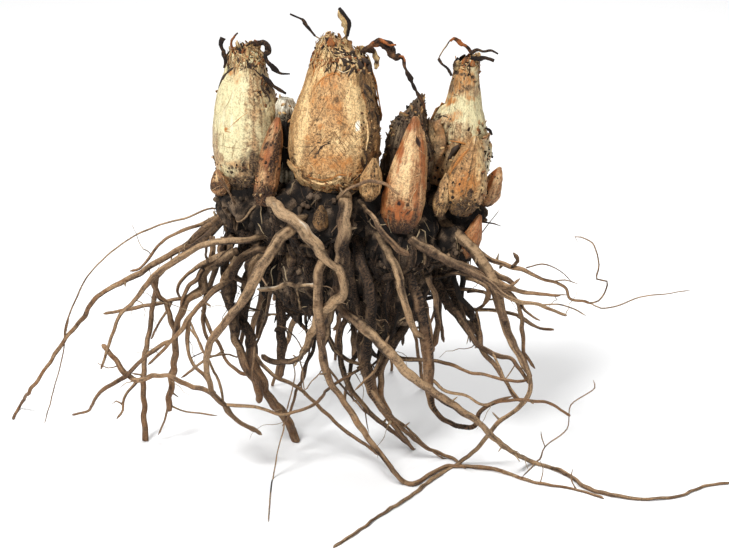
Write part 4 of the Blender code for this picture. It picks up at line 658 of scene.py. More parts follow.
# Fine lines on the skins: their marks, thickness in mm, then points across and down in the front view
FINE_DARK_LINE = (0.1, 0.4, 0.5)
DARK_LINE, RUST_LINE, TAN_LINE, PALE_LINE = (0, 0.2, 1.8), (0.2, 0.9, 0.2), (0.8, 0.2, 0), (1.1, 0, 0)
SKIN_LINES = {
    "bulb_left": (
        (DARK_LINE, 1.2, ((219, 87), (222, 80), (227, 73), (233, 68))),
        (DARK_LINE, 0.8, ((241, 70), (247, 67), (253, 69))),
        (DARK_LINE, 1.1, ((255, 70), (261, 76), (266, 81), (272, 88))),
        (DARK_LINE, 0.7, ((262, 78), (261, 86), (264, 93))),
        (DARK_LINE, 1.3, ((235, 44), (237, 49))),
        (DARK_LINE, 1.0, ((242, 48), (246, 52))),
        (DARK_LINE, 1.1, ((248, 42), (252, 46))),
        (DARK_LINE, 1.3, ((256, 47), (259, 53), (260, 58))),
        (DARK_LINE, 1.6, ((248, 63), (252, 66), (256, 66))),
        (DARK_LINE, 0.9, ((238, 58), (241, 63))),
        (DARK_LINE, 0.9, ((258, 92), (262, 97))),
        (DARK_LINE, 1.0, ((264, 90), (268, 96), (270, 101))),
        (RUST_LINE, 0.3, ((230, 127), (240, 118), (247, 113))),
        (RUST_LINE, 0.5, ((225, 127), (225, 131), (229, 132))),
    ),
    "bulb_middle": (
        (PALE_LINE, 1.0, ((308, 95), (308, 108), (306, 120), (305, 130))),
        (DARK_LINE, 1.2, ((327, 49), (333, 53), (341, 53))),
        (DARK_LINE, 1.5, ((337, 50), (346, 53), (356, 53), (363, 57))),
        (DARK_LINE, 1.3, ((341, 58), (348, 62), (352, 60))),
        (DARK_LINE, 1.4, ((343, 72), (350, 66), (355, 63))),
        (DARK_LINE, 1.4, ((326, 71), (331, 65))),
        # These two thick dark lines paint the shade in a hole in the neck.
        (DARK_LINE, 2.4, ((357, 60), (361, 67), (364, 74))),
        (DARK_LINE, 3.0, ((363, 59), (368, 65), (370, 73))),
        (DARK_LINE, 1.3, ((331, 44), (338, 47), (345, 51))),
        (DARK_LINE, 1.0, ((346, 56), (351, 58), (356, 57))),
        (DARK_LINE, 1.1, ((334, 57), (336, 62), (338, 66))),
        (DARK_LINE, 1.2, ((349, 75), (352, 70), (354, 65))),
        (DARK_LINE, 1.0, ((343, 62), (346, 66))),
        (DARK_LINE, 2.0, ((366, 86), (370, 90), (371, 94))),
        (DARK_LINE, 1.4, ((369, 98), (373, 102))),
        (DARK_LINE, 1.2, ((364, 90), (366, 95))),
        (DARK_LINE, 1.2, ((374, 110), (377, 116), (378, 124))),
        (RUST_LINE, 1.0, ((372, 70), (376, 84), (379, 98), (381, 112))),
        (RUST_LINE, 1.0, ((321, 55), (316, 65), (313, 76))),
        (RUST_LINE, 1.1, ((318, 84), (322, 79), (329, 75), (336, 73), (340, 76))),
        (DARK_LINE, 0.7, ((351, 63), (349, 68), (347, 73))),
        (TAN_LINE, 0.8, ((349, 86), (350, 94), (348, 103))),
        (DARK_LINE, 0.5, ((327, 144), (321, 147), (318, 153))),
        (DARK_LINE, 0.3, ((316, 147), (312, 151), (308, 156))),
        (DARK_LINE, 0.3, ((299, 146), (306, 147), (313, 146))),
        (RUST_LINE, 0.9, ((309, 177), (316, 179), (323, 180), (332, 178), (338, 175), (345, 175))),
        (TAN_LINE, 1.4, ((312, 181), (322, 184), (332, 182), (341, 178))),
        (DARK_LINE, 0.8, ((366, 152), (367, 160), (364, 169), (357, 178), (351, 183))),
        (DARK_LINE, 0.5, ((369, 103), (372, 115), (371, 126))),
        (TAN_LINE, 1.0, ((367, 122), (368, 136), (366, 150))),
    ),
    "bulb_right": (
        (RUST_LINE, 0.9, ((451, 141), (458, 142), (465, 144), (470, 148))),
        (DARK_LINE, 0.7, ((436, 118), (444, 116), (450, 119))),
        (DARK_LINE, 2.6, ((449, 158), (454, 151), (460, 144))),
        (DARK_LINE, 1.4, ((461, 64), (465, 66), (470, 65))),
        (DARK_LINE, 0.9, ((454, 70), (457, 74))),
        (RUST_LINE, 1.0, ((481, 60), (482, 72), (482, 84))),
    ),
    "offset_front": ((DARK_LINE, 0.8, ((417, 138), (419, 142), (420, 147))),),
    "offset_right": ((RUST_LINE, 1.0, ((450, 174), (456, 164), (463, 155), (469, 149))),),
}
# Slanting creases on the middle bulb: the middles of the first and last in the front view, how many, half sizes
# in pixels and thickness in mm
HATCHING = ((334, 166), (359, 126), 13, (3.2, 4.0), 0.28)

# What each bulb is like: faces around and up, depths in mm of its ribs, fibres and lumps, its ground marks, and
# how many mm higher its neck is at the left than in the middle
BULB_DETAIL = {
    "bulb_middle": ((190, 136), (0.15, 0.14, 0.45), (0.25, 0.15, 0.0), 3.0),
    "bulb_left": ((164, 126), (0.12, 0.1, 0.3), (0.25, 0.1, 0.05), 0.0),
    "bulb_right": ((164, 126), (0.2, 0.14, 0.4), (0.35, 0.15, 0.05), -2.0),
}
OFFSET_RELIEF = (0.2, 0.14, 0.4)
OLD_RELIEF, OLD_GROUND = (0.9, 0.5, 1.6), (0.2, 0.1, 0.3)
# The loose outer scale of each offset, as the sheaths of the bulbs are
OFFSET_SHEATHS = {
    "offset_front": ((10, 62, 0, 0.86, 0.9), (200, 50, 0, 0.3, 0.5)),
    "offset_right": ((215, 60, 0, 0.8, 0.8), (330, 50, 0, 0.4, 0.6)),
    "offset_slim": ((300, 60, 0, 0.55, 0.6),),
}
OTHER_SHEATHS = ((240, 70, 0, 0.5, 0.5),)
# The ground marks of the offsets
OFFSET_GROUND = {
    "offset_front": (0.3, 0.35, 0.1), "offset_slim": (0.1, 0.45, 0.3), "offset_right": (0.15, 0.35, 0.3),
    "offset_sliver": (0.3, 0.2, 0.35), "offset_edge": (0.35, 0.4, 0.1), "offset_low": (0.45, 0.6, 0.1),
    "offset_notch": (0.3, 0.3, 0.3), "offset_bud": (0.1, 0.4, 0.55), "offset_corner": (0.3, 0.4, 0.4),
}
OTHER_GROUND = (0.2, 0.35, 0.2)
# How many mm higher each old bulb's top is at the left than in the middle
OLD_SLANT = {"old_bulb_dark": -4.5, "old_bulb_pale": 0}

# Torn scraps of tunic: the bulb, turns in degrees, shares of the height, lift in mm, curls in mm at the foot,
# top, left and right, and ground marks
SCRAPS = (
    ("bulb_middle", (208, 262), (0.03, 0.1), 0.3, (1.2, 0.0, 0.5, 0.2), (0.4, 0.15, 0.3)),
    ("bulb_middle", (258, 310), (0.02, 0.09), 0.3, (1.4, 0.0, 0.2, 0.4), (0.3, 0.3, 0.4)),
    ("bulb_middle", (296, 338), (0.04, 0.2), 0.5, (1.0, 0.3, 0.0, 0.4), (0.3, 0.3, 0.3)),
    ("bulb_middle", (196, 222), (0.03, 0.2), 0.6, (0.8, 0.4, 1.0, 0.0), (0.5, 0.1, 0.2)),
    ("bulb_middle", (308, 345), (0.3, 0.85), 0.3, (0.4, 0.5, 0.3, 0.3), (0.2, 0.2, 0.6)),
    ("bulb_middle", (70, 150), (0.05, 0.5), 0.8, (1.0, 0.6, 0.6, 0.6), (0.2, 0.2, 0.2)),
    ("bulb_middle", (20, 100), (0.45, 0.9), 0.7, (0.5, 0.8, 0.5, 0.8), (0.2, 0.2, 0.3)),
    ("bulb_left", (40, 140), (0.1, 0.7), 0.7, (0.8, 0.8, 0.6, 0.6), (0.3, 0.2, 0.2)),
    ("bulb_right", (310, 360), (0.3, 0.47), 0.3, (0.0, 1.2, 0.4, 0.2), (0.6, 0.3, 0.0)),
    ("bulb_right", (168, 236), (0.14, 0.56), 2.0, (0.8, 1.2, 0.4, 0.9), (0.3, 0.3, 0.55)),
    ("bulb_right", (225, 285), (0.12, 0.42), 0.5, (0.4, 0.6, 0.5, 0.4), (0.2, 0.3, 0.4)),
    ("bulb_right", (60, 160), (0.1, 0.6), 0.7, (0.8, 0.8, 0.6, 0.6), (0.3, 0.2, 0.2)),
)

# How many fine pieces are set where
HAIRS_FRONT = 60
HAIRS_BACK = 50
SPURS = 60
HAIR_REACH = 95               # mm to either side of the middle, past which no hairs or stubs grow
TANGLE_ROOTS = 46
ROOT_BASES = 420
CROWN_THREADS = 520
CRUMBS = 900
# Crumbs on the skins: how many, and the share of the height below which they stick
SKIN_CRUMBS = (
    ("old_bulb_dark", 520, 1), ("old_bulb_pale", 120, 0.6), ("bulb_left", 150, 0.2),
    ("bulb_right", 160, 0.35), ("bulb_middle", 90, 0.06), ("offset_right", 40, 0.3), ("offset_slim", 30, 0.2),
    ("offset_front", 14, 0.08))
# Small pale buds on the crown: places in the front view, sizes in mm and marks
BUDS = (
    ((311, 196), 1.5, (1.3, 0.5, 0)), ((304, 205), 1.3, (0.8, 0.4, 0.2)), ((300, 211), 1.6, (0.7, 0.3, 0.3)),
    ((309, 206), 1.1, (0.7, 0.5, 0.2)), ((349, 199), 1.2, (0.9, 0.1, 0.2)),
    ((334, 201), 1.0, (0.6, 0.4, 0.2)))
# The fibres on each neck: the share of the height where they start, and how many
NECK_FIBRES = {"bulb_left": (0.86, 110), "bulb_middle": (0.84, 120), "bulb_right": (0.9, 40)}
LEAF_ENDS = 18

# Marks of fibres and flakes, drawn at random for each
CROWN_TONES = ((0.1, 0.1, 0.6), (0.4, 0.1, 0.3), (0.7, 0.2, 0.1), (0.0, 0.1, 1.0), (1.1, 0.2, 0.0))
NECK_TONES = (
    (1.2, 0.1, 0.0), (0.9, 0.3, 0.0), (0.5, 0.4, 0.1), (0.0, 0.3, 1.4), (0.3, 0.6, 0.1), (1.1, 0.1, 0.0))
SKIN_TONES = ((1.0, 0.1, 0.0), (0.7, 0.3, 0.0), (0.3, 0.5, 0.2), (0.8, 0.2, 0.2))
FIBRE_TONES = ((0.7, 0.1, 0.0), (0.4, 0.3, 0.1), (0.1, 0.4, 0.5), (0.5, 0.2, 0.2))
SPECK_TONES = ((0.0, 0.1, 1.0), (0.1, 0.4, 0.6), (0.5, 0.2, 0.2), (0.9, 0.2, 0.0))

# Flakes of old skin: the growth they sit on, how many, the shares of its height, the longest in mm, their tones,
# and how far to the right of it they start, from -1 for the left to 1 for the right
FLAKES = (
    ("old_bulb_dark", 330, 0.0, 1.0, 2.2, CROWN_TONES, -2),
    ("old_bulb_pale", 40, 0.6, 1.0, 2.0, SKIN_TONES, -2),
    ("bulb_middle", 120, 0.0, 0.09, 3.0, SKIN_TONES, -2),
    ("bulb_middle", 110, 0.84, 1.0, 2.6, NECK_TONES, -2),
    ("bulb_middle", 110, 0.3, 0.85, 1.4, CROWN_TONES, 0.6),
    ("bulb_left", 60, 0.0, 0.12, 2.5, CROWN_TONES, -2), ("bulb_left", 60, 0.86, 1.0, 2.6, NECK_TONES, -2),
    ("bulb_left", 90, 0.1, 0.84, 1.8, SPECK_TONES, 0.4), ("bulb_right", 110, 0.0, 0.45, 2.6, SPECK_TONES, -2),
    ("bulb_right", 24, 0.86, 1.0, 2.0, NECK_TONES, -2), ("offset_right", 30, 0.0, 0.4, 2.2, SPECK_TONES, -2),
    ("offset_slim", 16, 0.0, 0.5, 1.8, SPECK_TONES, -2))
# Fibres that lie in the skins: the skin and how many
FIBRES = (
    ("bulb_left", 60), ("bulb_middle", 240), ("bulb_right", 90), ("old_bulb_dark", 160),
    ("old_bulb_pale", 40), ("offset_front", 14), ("offset_right", 34), ("offset_slim", 8),
    ("offset_sliver", 8), ("offset_notch", 12), ("offset_edge", 6), ("offset_corner", 6))
# Outline in the front view that the tangle of inner roots stays in
TANGLE_OUTLINE = (
    (205, 225), (195, 260), (200, 330), (240, 400), (290, 440), (330, 400), (380, 440), (430, 400),
    (450, 330), (480, 350), (500, 300), (480, 250))
# Gaps that stay open to the back: their middles and sizes in the front view
OPEN_GAPS = (
    (257, 318, 14), (269, 343, 9), (338, 341, 11), (295, 333, 8), (406, 350, 15), (410, 378, 20),
    (392, 395, 14), (450, 330, 16), (232, 350, 8), (350, 384, 8))

# Soft lights: name, place in metres, size in metres and power in watts
LIGHTS = (
    ("key", (-0.5, -0.8, 1.2), 0.35, 25), ("fill", (0.9, -0.9, 0.7), 0.9, 3),
    ("top", (0.1, 0.6, 1.4), 0.8, 13))
WORLD_STRENGTH = 0.26
FLOOR_REACH, FLOOR_DROP = 6.0, 0.0002  # metres to each side, and just under the lowest root

FORWARD = Vector((0, math.cos(VIEW_TILT), -math.sin(VIEW_TILT)))
UPWARD = Vector((0, math.sin(VIEW_TILT), math.cos(VIEW_TILT)))
EYE = LOOK_AT - FORWARD * VIEW_DISTANCE


def sight(across, down):
    """The way from the eye of the front view through a pixel of it."""
    scale = PIXEL / VIEW_DISTANCE
    ray = FORWARD + UPWARD * (VIEW_MIDDLE[1] - down) * scale
    ray.x = (across - VIEW_MIDDLE[0]) * scale
    return ray


def seen(across, down, depth):
    """The place seen at that pixel of the front view, depth mm behind the middle, or on the floor."""
    ray = sight(across, down)
    steps = -EYE.z / ray.z if depth is FLOOR else (depth * MM - EYE.y) / ray.y
    return EYE + ray * steps


def pixels(places):
    """Where places in metres show in the front view, as pixels across and pixels down."""
    off = places - np.array(EYE)
    ahead = off @ np.array(FORWARD) * PIXEL / VIEW_DISTANCE
    return VIEW_MIDDLE[0] + off[..., 0] / ahead, VIEW_MIDDLE[1] - off @ np.array(UPWARD) / ahead


def inside(outline, across, down):
    """Whether a place in the front view is inside an outline in it."""
    crossed = False
    for (xa, ya), (xb, yb) in zip(outline, outline[1:] + outline[:1]):
        if (ya > down) != (yb > down) and across < xa + (down - ya) * (xb - xa) / (yb - ya):
            crossed = not crossed
    return crossed


def between(values, share):
    """The value at that share of the way along a list of evenly spaced values."""
    place = min(max(share, 0), 1) * (len(values) - 1)
    low = min(int(place), len(values) - 2)
    return values[low] + (values[low + 1] - values[low]) * (place - low)


def smooth(value, width=1.0):
    """0 below zero, 1 above width, and smooth between."""
    t = np.clip(value / width, 0, 1)
    return t * t * (3 - 2 * t)


def blend(a, b, share):
    """The value at that share of the way from a to b."""
    return a + (b - a) * share


def cloud(places, seed=0):
    """Smooth random values from -1 to 1 over space, about one lump to each unit of it."""
    cell = np.floor(places).astype(np.int64)
    part = smooth(places - cell)
    total = 0
    for corner in itertools.product((0, 1), repeat=3):
        x, y, z = np.moveaxis(cell + np.array(corner), -1, 0)
        mixed = (x * 73856093) ^ (y * 19349663) ^ (z * 83492791) ^ (seed * 15485863)
        mixed = ((mixed & 0xFFFFFFFF) * 1274126177 >> 7) & 0xFFFFFFFF
        mixed = ((mixed ^ (mixed >> 13)) * 668265263 >> 5) & 0xFFFF
        weight = np.prod(np.where(corner, part, 1 - part), axis=-1)
        total = total + weight * (mixed / 0x7FFF - 1)
    return total


def rough(places, seed=0, layers=3):
    """Like cloud, with finer lumps added."""
    return sum(cloud(places * 2**k, seed + k) / 2**k for k in range(layers)) / 1.4


def stacked(*axes):
    """Vectors from their numbers along each axis, spread over the shape that these share."""
    return np.stack(np.broadcast_arrays(*axes), -1)


def round_grain(turn, along, radius=1.0):
    """Places round a stem, so that noise over them has no seam."""
    return stacked(np.cos(turn) * radius, np.sin(turn) * radius, along)


def ball(around, up, start=0.0):
    """Ways out from the middle of a ball, in rows from the lowest to the highest, without the poles."""
    turn = TAU * np.arange(around) / around + start
    tilt = np.pi * (np.arange(1, up) / up - 0.5)[:, None]
    return stacked(np.cos(tilt) * np.cos(turn), np.cos(tilt) * np.sin(turn), np.sin(tilt))


def through(points, spacing):
    """A smooth curve through the points, sampled about every spacing."""
    points = np.array(points, float)
    ends = np.vstack([2 * points[0] - points[1], points, 2 * points[-1] - points[-2]])
    runs = []
    for a, b, c, d in zip(ends, ends[1:], ends[2:], ends[3:]):
        steps = max(1, round(np.linalg.norm(c - b) / spacing))
        ta, tb, tc = (max(1e-6, np.linalg.norm(q - p)) ** 0.5 for p, q in ((a, b), (b, c), (c, d)))
        leave = ((b - a) / ta - (c - a) / (ta + tb) + (c - b) / tb) * tb
        arrive = ((c - b) / tb - (d - b) / (tb + tc) + (d - c) / tc) * tb
        t = (np.arange(steps) / steps)[:, None]
        runs.append(
            b * (2 * t**3 - 3 * t**2 + 1)
            + leave * (t**3 - 2 * t**2 + t)
            + c * (3 * t**2 - 2 * t**3)
            + arrive * (t**3 - t**2)
        )
    return np.vstack([*runs, points[-1:]])


def unit(vectors):
    """The vectors at length 1."""
    return vectors / np.maximum(np.linalg.norm(vectors, axis=-1, keepdims=True), 1e-12)


def headings(curve):
    """The way ahead at each point of the curve."""
    return unit(np.vstack([curve[1:2] - curve[:1], curve[2:] - curve[:-2], curve[-1:] - curve[-2:-1]]))


def cross_frames(curve):
    """For each point of the curve, two directions across it that turn as little as they can."""
    ahead = headings(curve)
    side = np.array(Vector(ahead[0]).orthogonal().normalized())
    sides = []
    for heading in ahead:
        side = side - heading * (side @ heading)
        side = side / math.sqrt(side @ side)
        sides.append(side)
    sides = np.array(sides)
    return sides, np.cross(ahead, sides)


def spokes_of(curve, turn):
    """The ways out from each point of the curve at those turns."""
    side, other = cross_frames(curve)
    return side[:, None] * np.cos(turn)[..., None] + other[:, None] * np.sin(turn)[..., None]


def lengths_along(curve):
    """How far along the curve each of its points is, in mm."""
    return np.concatenate([[0], np.cumsum(np.linalg.norm(np.diff(curve, axis=0), axis=1))]) / MM


def spread(values, share):
    """The values, spread evenly along a curve, at those shares of the way."""
    return np.interp(share, np.linspace(0, 1, len(values)), values)[:, None]


class Growth:
    """A mesh in the making, with the grain and the marks that its finish reads at each corner.

    The grain is a place in mm that runs up a bulb or along a root. The marks are shares of pale, russet and soil;
    in places the pale share also carries painted light, and the soil share painted shade.
    """

    def __init__(self):
        self.corners, self.grain, self.marks, self.quads, self.triangles = [], [], [], [], []
        self.count = 0

    def add(self, corners, grain, marks, quads, triangles):
        self.corners.append(corners)
        self.grain.append(grain)
        self.marks.append(marks)
        self.quads.append(quads + self.count)
        self.triangles.append(triangles + self.count)
        self.count += len(corners)

    def add_rings(self, rings, start, end, grain, marks):
        """A closed skin over rows of corners round a stem, with a point at each end."""
        rows, sides = rings.shape[:2]
        low = np.arange(rows - 1)[:, None] * sides
        k = np.arange(sides)
        nxt = (k + 1) % sides
        quads = np.stack([low + k, low + nxt, low + nxt + sides, low + k + sides], -1).reshape(-1, 4)
        foot, top = rows * sides, rows * sides + 1
        last = (rows - 1) * sides
        triangles = np.concatenate([
            np.stack([np.full(sides, foot), nxt, k], -1),
            np.stack([np.full(sides, top), last + k, last + nxt], -1),
        ])
        corners = np.vstack([rings.reshape(-1, 3), [start, end]])
        a, b, c, d = (corners[quads[:, k]] - corners[foot] for k in range(4))
        if np.sum((a + c) * np.cross(c - a, d - b)) < 0:
            quads, triangles = quads[:, ::-1], triangles[:, ::-1]
        self.add(
            corners,
            np.vstack([grain.reshape(-1, 3), grain[0].mean(0), grain[-1].mean(0)]),
            np.vstack([marks.reshape(-1, 3), marks[0].mean(0), marks[-1].mean(0)]),
            quads,
            triangles,
        )

    def add_sheet(self, face, back, grain, marks):
        """A thin closed sheet between a grid of face corners and a grid of back corners."""
        rings = np.concatenate([face, back[:, ::-1]], axis=1)
        grains = np.concatenate([grain, grain[:, ::-1]], axis=1)
        marked = np.concatenate([marks, marks[:, ::-1]], axis=1)
        self.add_rings(rings, rings[0].mean(0), rings[-1].mean(0), grains, marked)

    def tree(self):
        """For finding the nearest place on it."""
        faces = [face for block in (*self.quads, *self.triangles) for face in block.tolist()]
        return BVHTree.FromPolygons(np.vstack(self.corners).tolist(), faces)

    def piece(self, name, finish, slot, *nodes):
        """The finished piece, which stands for those nodes of the part."""
        corners = np.vstack(self.corners)
        corners[:, 2] = np.maximum(corners[:, 2], 0)
        quads, triangles = np.vstack(self.quads), np.vstack(self.triangles)
        mesh = bpy.data.meshes.new(name)
        mesh.vertices.add(len(corners))
        mesh.vertices.foreach_set("co", corners.astype(np.float32).ravel())
        around = np.concatenate([quads.ravel(), triangles.ravel()]).astype(np.int32)
        mesh.loops.add(len(around))
        mesh.loops.foreach_set("vertex_index", around)
        starts = np.concatenate([np.arange(len(quads)) * 4, quads.size + np.arange(len(triangles)) * 3])
        mesh.polygons.add(len(starts))
        mesh.polygons.foreach_set("loop_start", starts.astype(np.int32))
        for label, values in (("grain", self.grain), ("marks", self.marks)):
            layer = mesh.attributes.new(label, "FLOAT_VECTOR", "POINT")
            layer.data.foreach_set("vector", np.vstack(values).astype(np.float32).ravel())
        mesh.update(calc_edges=True)
        mesh.validate()
        mesh.shade_smooth()
        mesh.materials.append(finish)
        thing = bpy.data.objects.new(name, mesh)
        bpy.context.scene.collection.objects.link(thing)
        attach(thing, "root")
        if nodes:
            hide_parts(*nodes)
        return thing


class Wire:
    """A socket of the finish that is being made. Arithmetic on it adds Math nodes."""

    tree = None

    def __init__(self, socket):
        self.socket = socket

    @classmethod
    def node(cls, kind, settings=None, sockets=None, output=0):
        """The output of a new node, after its settings and the values or links of its sockets."""
        made = cls.tree.nodes.new("ShaderNode" + kind)
        for name, value in (settings or {}).items():
            setattr(made, name, value)
        for name, value in (sockets or {}).items():
            if isinstance(value, cls):
                cls.tree.links.new(value.socket, made.inputs[name])
            else:
                made.inputs[name].default_value = value
        return cls(made.outputs[output])

    @classmethod
    def maths(cls, operation, *values):
        return cls.node("Math", {"operation": operation}, dict(enumerate(values)))

    def __add__(self, other):
        return self.maths("ADD", self, other)

    __radd__ = __add__

    def __sub__(self, other):
        return self.maths("SUBTRACT", self, other)

    def __rsub__(self, other):
        return self.maths("SUBTRACT", other, self)

    def __mul__(self, other):
        return self.maths("MULTIPLY", self, other)

    __rmul__ = __mul__

    def __pow__(self, other):
        return self.maths("POWER", self, other)


def stretched(place, factors):
    """A vector wire scaled along each axis."""
    return Wire.node("VectorMath", {"operation": "MULTIPLY"}, {0: place, 1: factors})


def grainy(place, scale, detail=3.0, coarse=0.5):
    """Noise from 0 to 1 over a vector wire."""
    sockets = {"Vector": place, "Scale": scale, "Detail": detail, "Roughness": coarse}
    return Wire.node("TexNoise", {}, sockets)


def rising(value, low, high):
    """0 where the wire is under low, 1 where it is over high, and smooth between."""
    sockets = {"Value": value, "From Min": low, "From Max": high}
    return Wire.node("MapRange", {"interpolation_type": "SMOOTHSTEP"}, sockets)


def tinted(under, over, share):
    """One colour over another. Either is a colour wire or three numbers."""
    under, over = (c if isinstance(c, Wire) else (*c, 1) for c in (under, over))
    return Wire.node("Mix", {"data_type": "RGBA"}, {0: share, 6: under, 7: over}, 2)


def parts(vector):
    """The three numbers of a vector wire."""
    return [Wire.node("SeparateXYZ", {}, {0: vector}, axis) for axis in range(3)]


def rgb(red, green, blue):
    """A colour from 0 to 255 a channel, as light."""
    shares = [channel / 255 for channel in (red, green, blue)]
    return tuple(s / 12.92 if s <= 0.04045 else ((s + 0.055) / 1.055) ** 2.4 for s in shares)


def deeper(colour, share):
    """A colour with each channel at that share of its light."""
    return tuple(channel * share for channel in colour)


# Nearly white: the palest skin, and painted highlights such as the white spot on the middle bulb and the lit tops
# of pale roots.
PALEST_SKIN_AND_HIGHLIGHT = rgb(240, 234, 216)


def tissue(name, plain, pale, russet, soil, scale=1.0, along=0.1, depth=0.25, roughness=0.6, flecks=0.0,
           grit=0.3, blotch=0.8, depth_of_pale=0.45):
    """A plant finish. Its colours run along the grain in streaks, and follow the marks of each corner."""
    finish = bpy.data.materials.new(name)
    finish.use_nodes = True
    Wire.tree = finish.node_tree
    shader = finish.node_tree.nodes["Principled BSDF"]
    place = Wire.node("Attribute", {"attribute_name": "grain"}, output=1)
    lit, rusty, dirt_and_shade = parts(Wire.node("Attribute", {"attribute_name": "marks"}, output=1))
    streak = grainy(stretched(place, (scale, scale, scale * along)), 1.0, 4.0, 0.6)
    fibre = grainy(stretched(place, (4 * scale, 4 * scale, 2.4 * scale * along)), 1.0, 2.0)
    mottle = grainy(place, 0.45 * scale, 3.0)
    crumbs = grainy(place, 1.7 * scale, 4.0, 0.7)
    body = (streak * 0.6 + fibre * 0.4) * (1 - grit) + crumbs * grit
    colour = tinted(deeper(plain, 0.4), deeper(plain, 1.25), rising(body, 0.43, 0.57))
    fair = tinted(deeper(pale, depth_of_pale), deeper(pale, 1.04), rising(body, 0.41, 0.54))
    uneven = (mottle - 0.5) * blotch + (crumbs - 0.5) * 0.9
    colour = tinted(colour, fair, rising(lit + (streak - 0.5) * 0.6 + uneven, 0.05, 0.95))
    # The highest pale marks turn nearly white: painted highlights, and the palest skin.
    colour = tinted(colour, PALEST_SKIN_AND_HIGHLIGHT, rising(lit, 1.2, 1.8))
    rust = tinted(deeper(russet, 0.6), russet, rising(body, 0.38, 0.58))
    colour = tinted(colour, rust, rising(rusty + uneven, 0.15, 1.0))
    # The soil share turns the colour towards earth: real soil, and painted shade where the marks carry it.
    soil_and_shade = rising(dirt_and_shade + (fibre - 0.5) * 0.5 + uneven, 0.15, 0.95)
    earth_and_shade = tinted(deeper(soil, 0.5), deeper(plain, 0.8), rising(crumbs, 0.44, 0.62) * 0.7)
    earth_and_shade = tinted(earth_and_shade, deeper(soil, 0.6), rising(dirt_and_shade, 1.0, 1.8))
    colour = tinted(colour, earth_and_shade, soil_and_shade)
    if flecks:
        speck = rising(grainy(stretched(place, (2.6, 2.6, 1.4)), 1.0, 2.0), 0.64, 0.72)
        colour = tinted(colour, deeper(soil, 0.8), speck * flecks)
    height = streak * 0.5 + fibre * 0.25 + crumbs * (soil_and_shade * 0.6 + 0.3)
    bump = Wire.node("Bump", {}, {"Strength": 0.9, "Distance": depth * MM, "Height": height})
    for socket, wire in (("Base Color", colour), ("Roughness", soil_and_shade * 0.25 + roughness), ("Normal", bump)):
        Wire.tree.links.new(wire.socket, shader.inputs[socket])
    shader.inputs["Specular IOR Level"].default_value = 0.35
    return finish


# The dark soil colour of the roots, which also paints the shade under them and deep in the tangle.
SOIL = rgb(28, 21, 17)
FINISHES = {
    "bulb_cream": tissue(
        "bulb_cream", rgb(166, 132, 92), rgb(216, 204, 160), rgb(190, 124, 58), rgb(74, 58, 45),
        scale=0.8, along=0.7, depth=0.22, roughness=0.5, flecks=0.15, grit=0.6, blotch=1.3, depth_of_pale=0.62),
    "bulb_tan": tissue(
        "bulb_tan", rgb(174, 132, 84), rgb(226, 192, 138), rgb(184, 118, 54), rgb(70, 54, 42),
        scale=1.0, along=0.8, depth=0.35, roughness=0.6, flecks=0.3, grit=0.6, blotch=1.8),
    "offset_russet": tissue(
        "offset_russet", rgb(154, 110, 70), rgb(224, 190, 140), rgb(160, 90, 42), rgb(54, 34, 25),
        scale=0.9, along=0.6, depth=0.25, roughness=0.5, flecks=0.3, grit=0.6, blotch=1.6),
    "old_scale": tissue(
        "old_scale", rgb(88, 70, 54), rgb(160, 138, 106), rgb(110, 70, 42), rgb(36, 28, 23),
        scale=1.2, along=0.3, depth=0.5, roughness=0.8),
    "old_pale": tissue(
        "old_pale", rgb(150, 136, 110), rgb(216, 208, 186), rgb(150, 110, 74), rgb(28, 22, 18),
        scale=1.0, along=0.4, depth=0.4, roughness=0.8),
    "dry_leaf": tissue(
        "dry_leaf", rgb(104, 74, 48), rgb(196, 166, 116), rgb(158, 88, 34), rgb(32, 22, 18),
        scale=1.2, along=0.2, depth=0.3, roughness=0.7),
    "root_brown": tissue(
        "root_brown", rgb(106, 81, 59), rgb(165, 136, 102), rgb(122, 82, 48), SOIL,
        scale=1.1, along=0.14, depth=0.5, roughness=0.7, grit=0.45, blotch=1.6),
    "hair_root": tissue(
        "hair_root", rgb(122, 98, 74), rgb(186, 164, 128), rgb(134, 94, 58), SOIL,
        scale=1.0, along=0.3, depth=0.1, roughness=0.7),
    "soil": tissue(
        "soil", rgb(48, 37, 29), rgb(126, 105, 84), rgb(90, 62, 42), rgb(15, 12, 10),
        scale=1.4, along=0.6, depth=1.0, roughness=0.9, grit=0.6),
}


def marked(shape, pale=0.0, russet=0.0, soil=0.0):
    """The marks for corners in that shape."""
    return np.stack([np.broadcast_to(share, shape) for share in (pale, russet, soil)], -1).astype(float)


def soil_and_shade(places):
    """1 deep in the tangle under the crown, 0 well out of it: how strongly soil and painted shade darken a root
    there.
    """
    off = (places / MM - TANGLE_MIDDLE) / TANGLE_REACH
    return 1 - smooth(np.linalg.norm(off, axis=-1) - 0.55, 0.45)


def bent(route, girths, seed, spacing):
    """A root's curve with its small bends, and how far along it each of its points is in mm."""
    curve = through(route, spacing)
    along = lengths_along(curve)[:, None]
    bends = [noise.noise_vector(Vector((seed * 3.1, reach / BEND_LENGTH, 0))) for reach in along[:, 0]]
    return curve + np.array(bends) * BEND * min(girths) * MM, along


def wrinkled(turn, along, share, seed, ringed):
    """How deep a root's wrinkle rings are at each corner, in patches, from 0 to ringed."""
    phase = along * TAU / RING_PITCH + cloud(round_grain(turn, along / 4, 0.9), seed + 4) * 5
    patchy = smooth(cloud(round_grain(turn, along / 9, 1.3), seed + 8) + 0.25, 0.6)
    return ringed * (0.5 + 0.5 * np.cos(phase)) ** 3 * smooth(0.9 - share, 0.3) * patchy


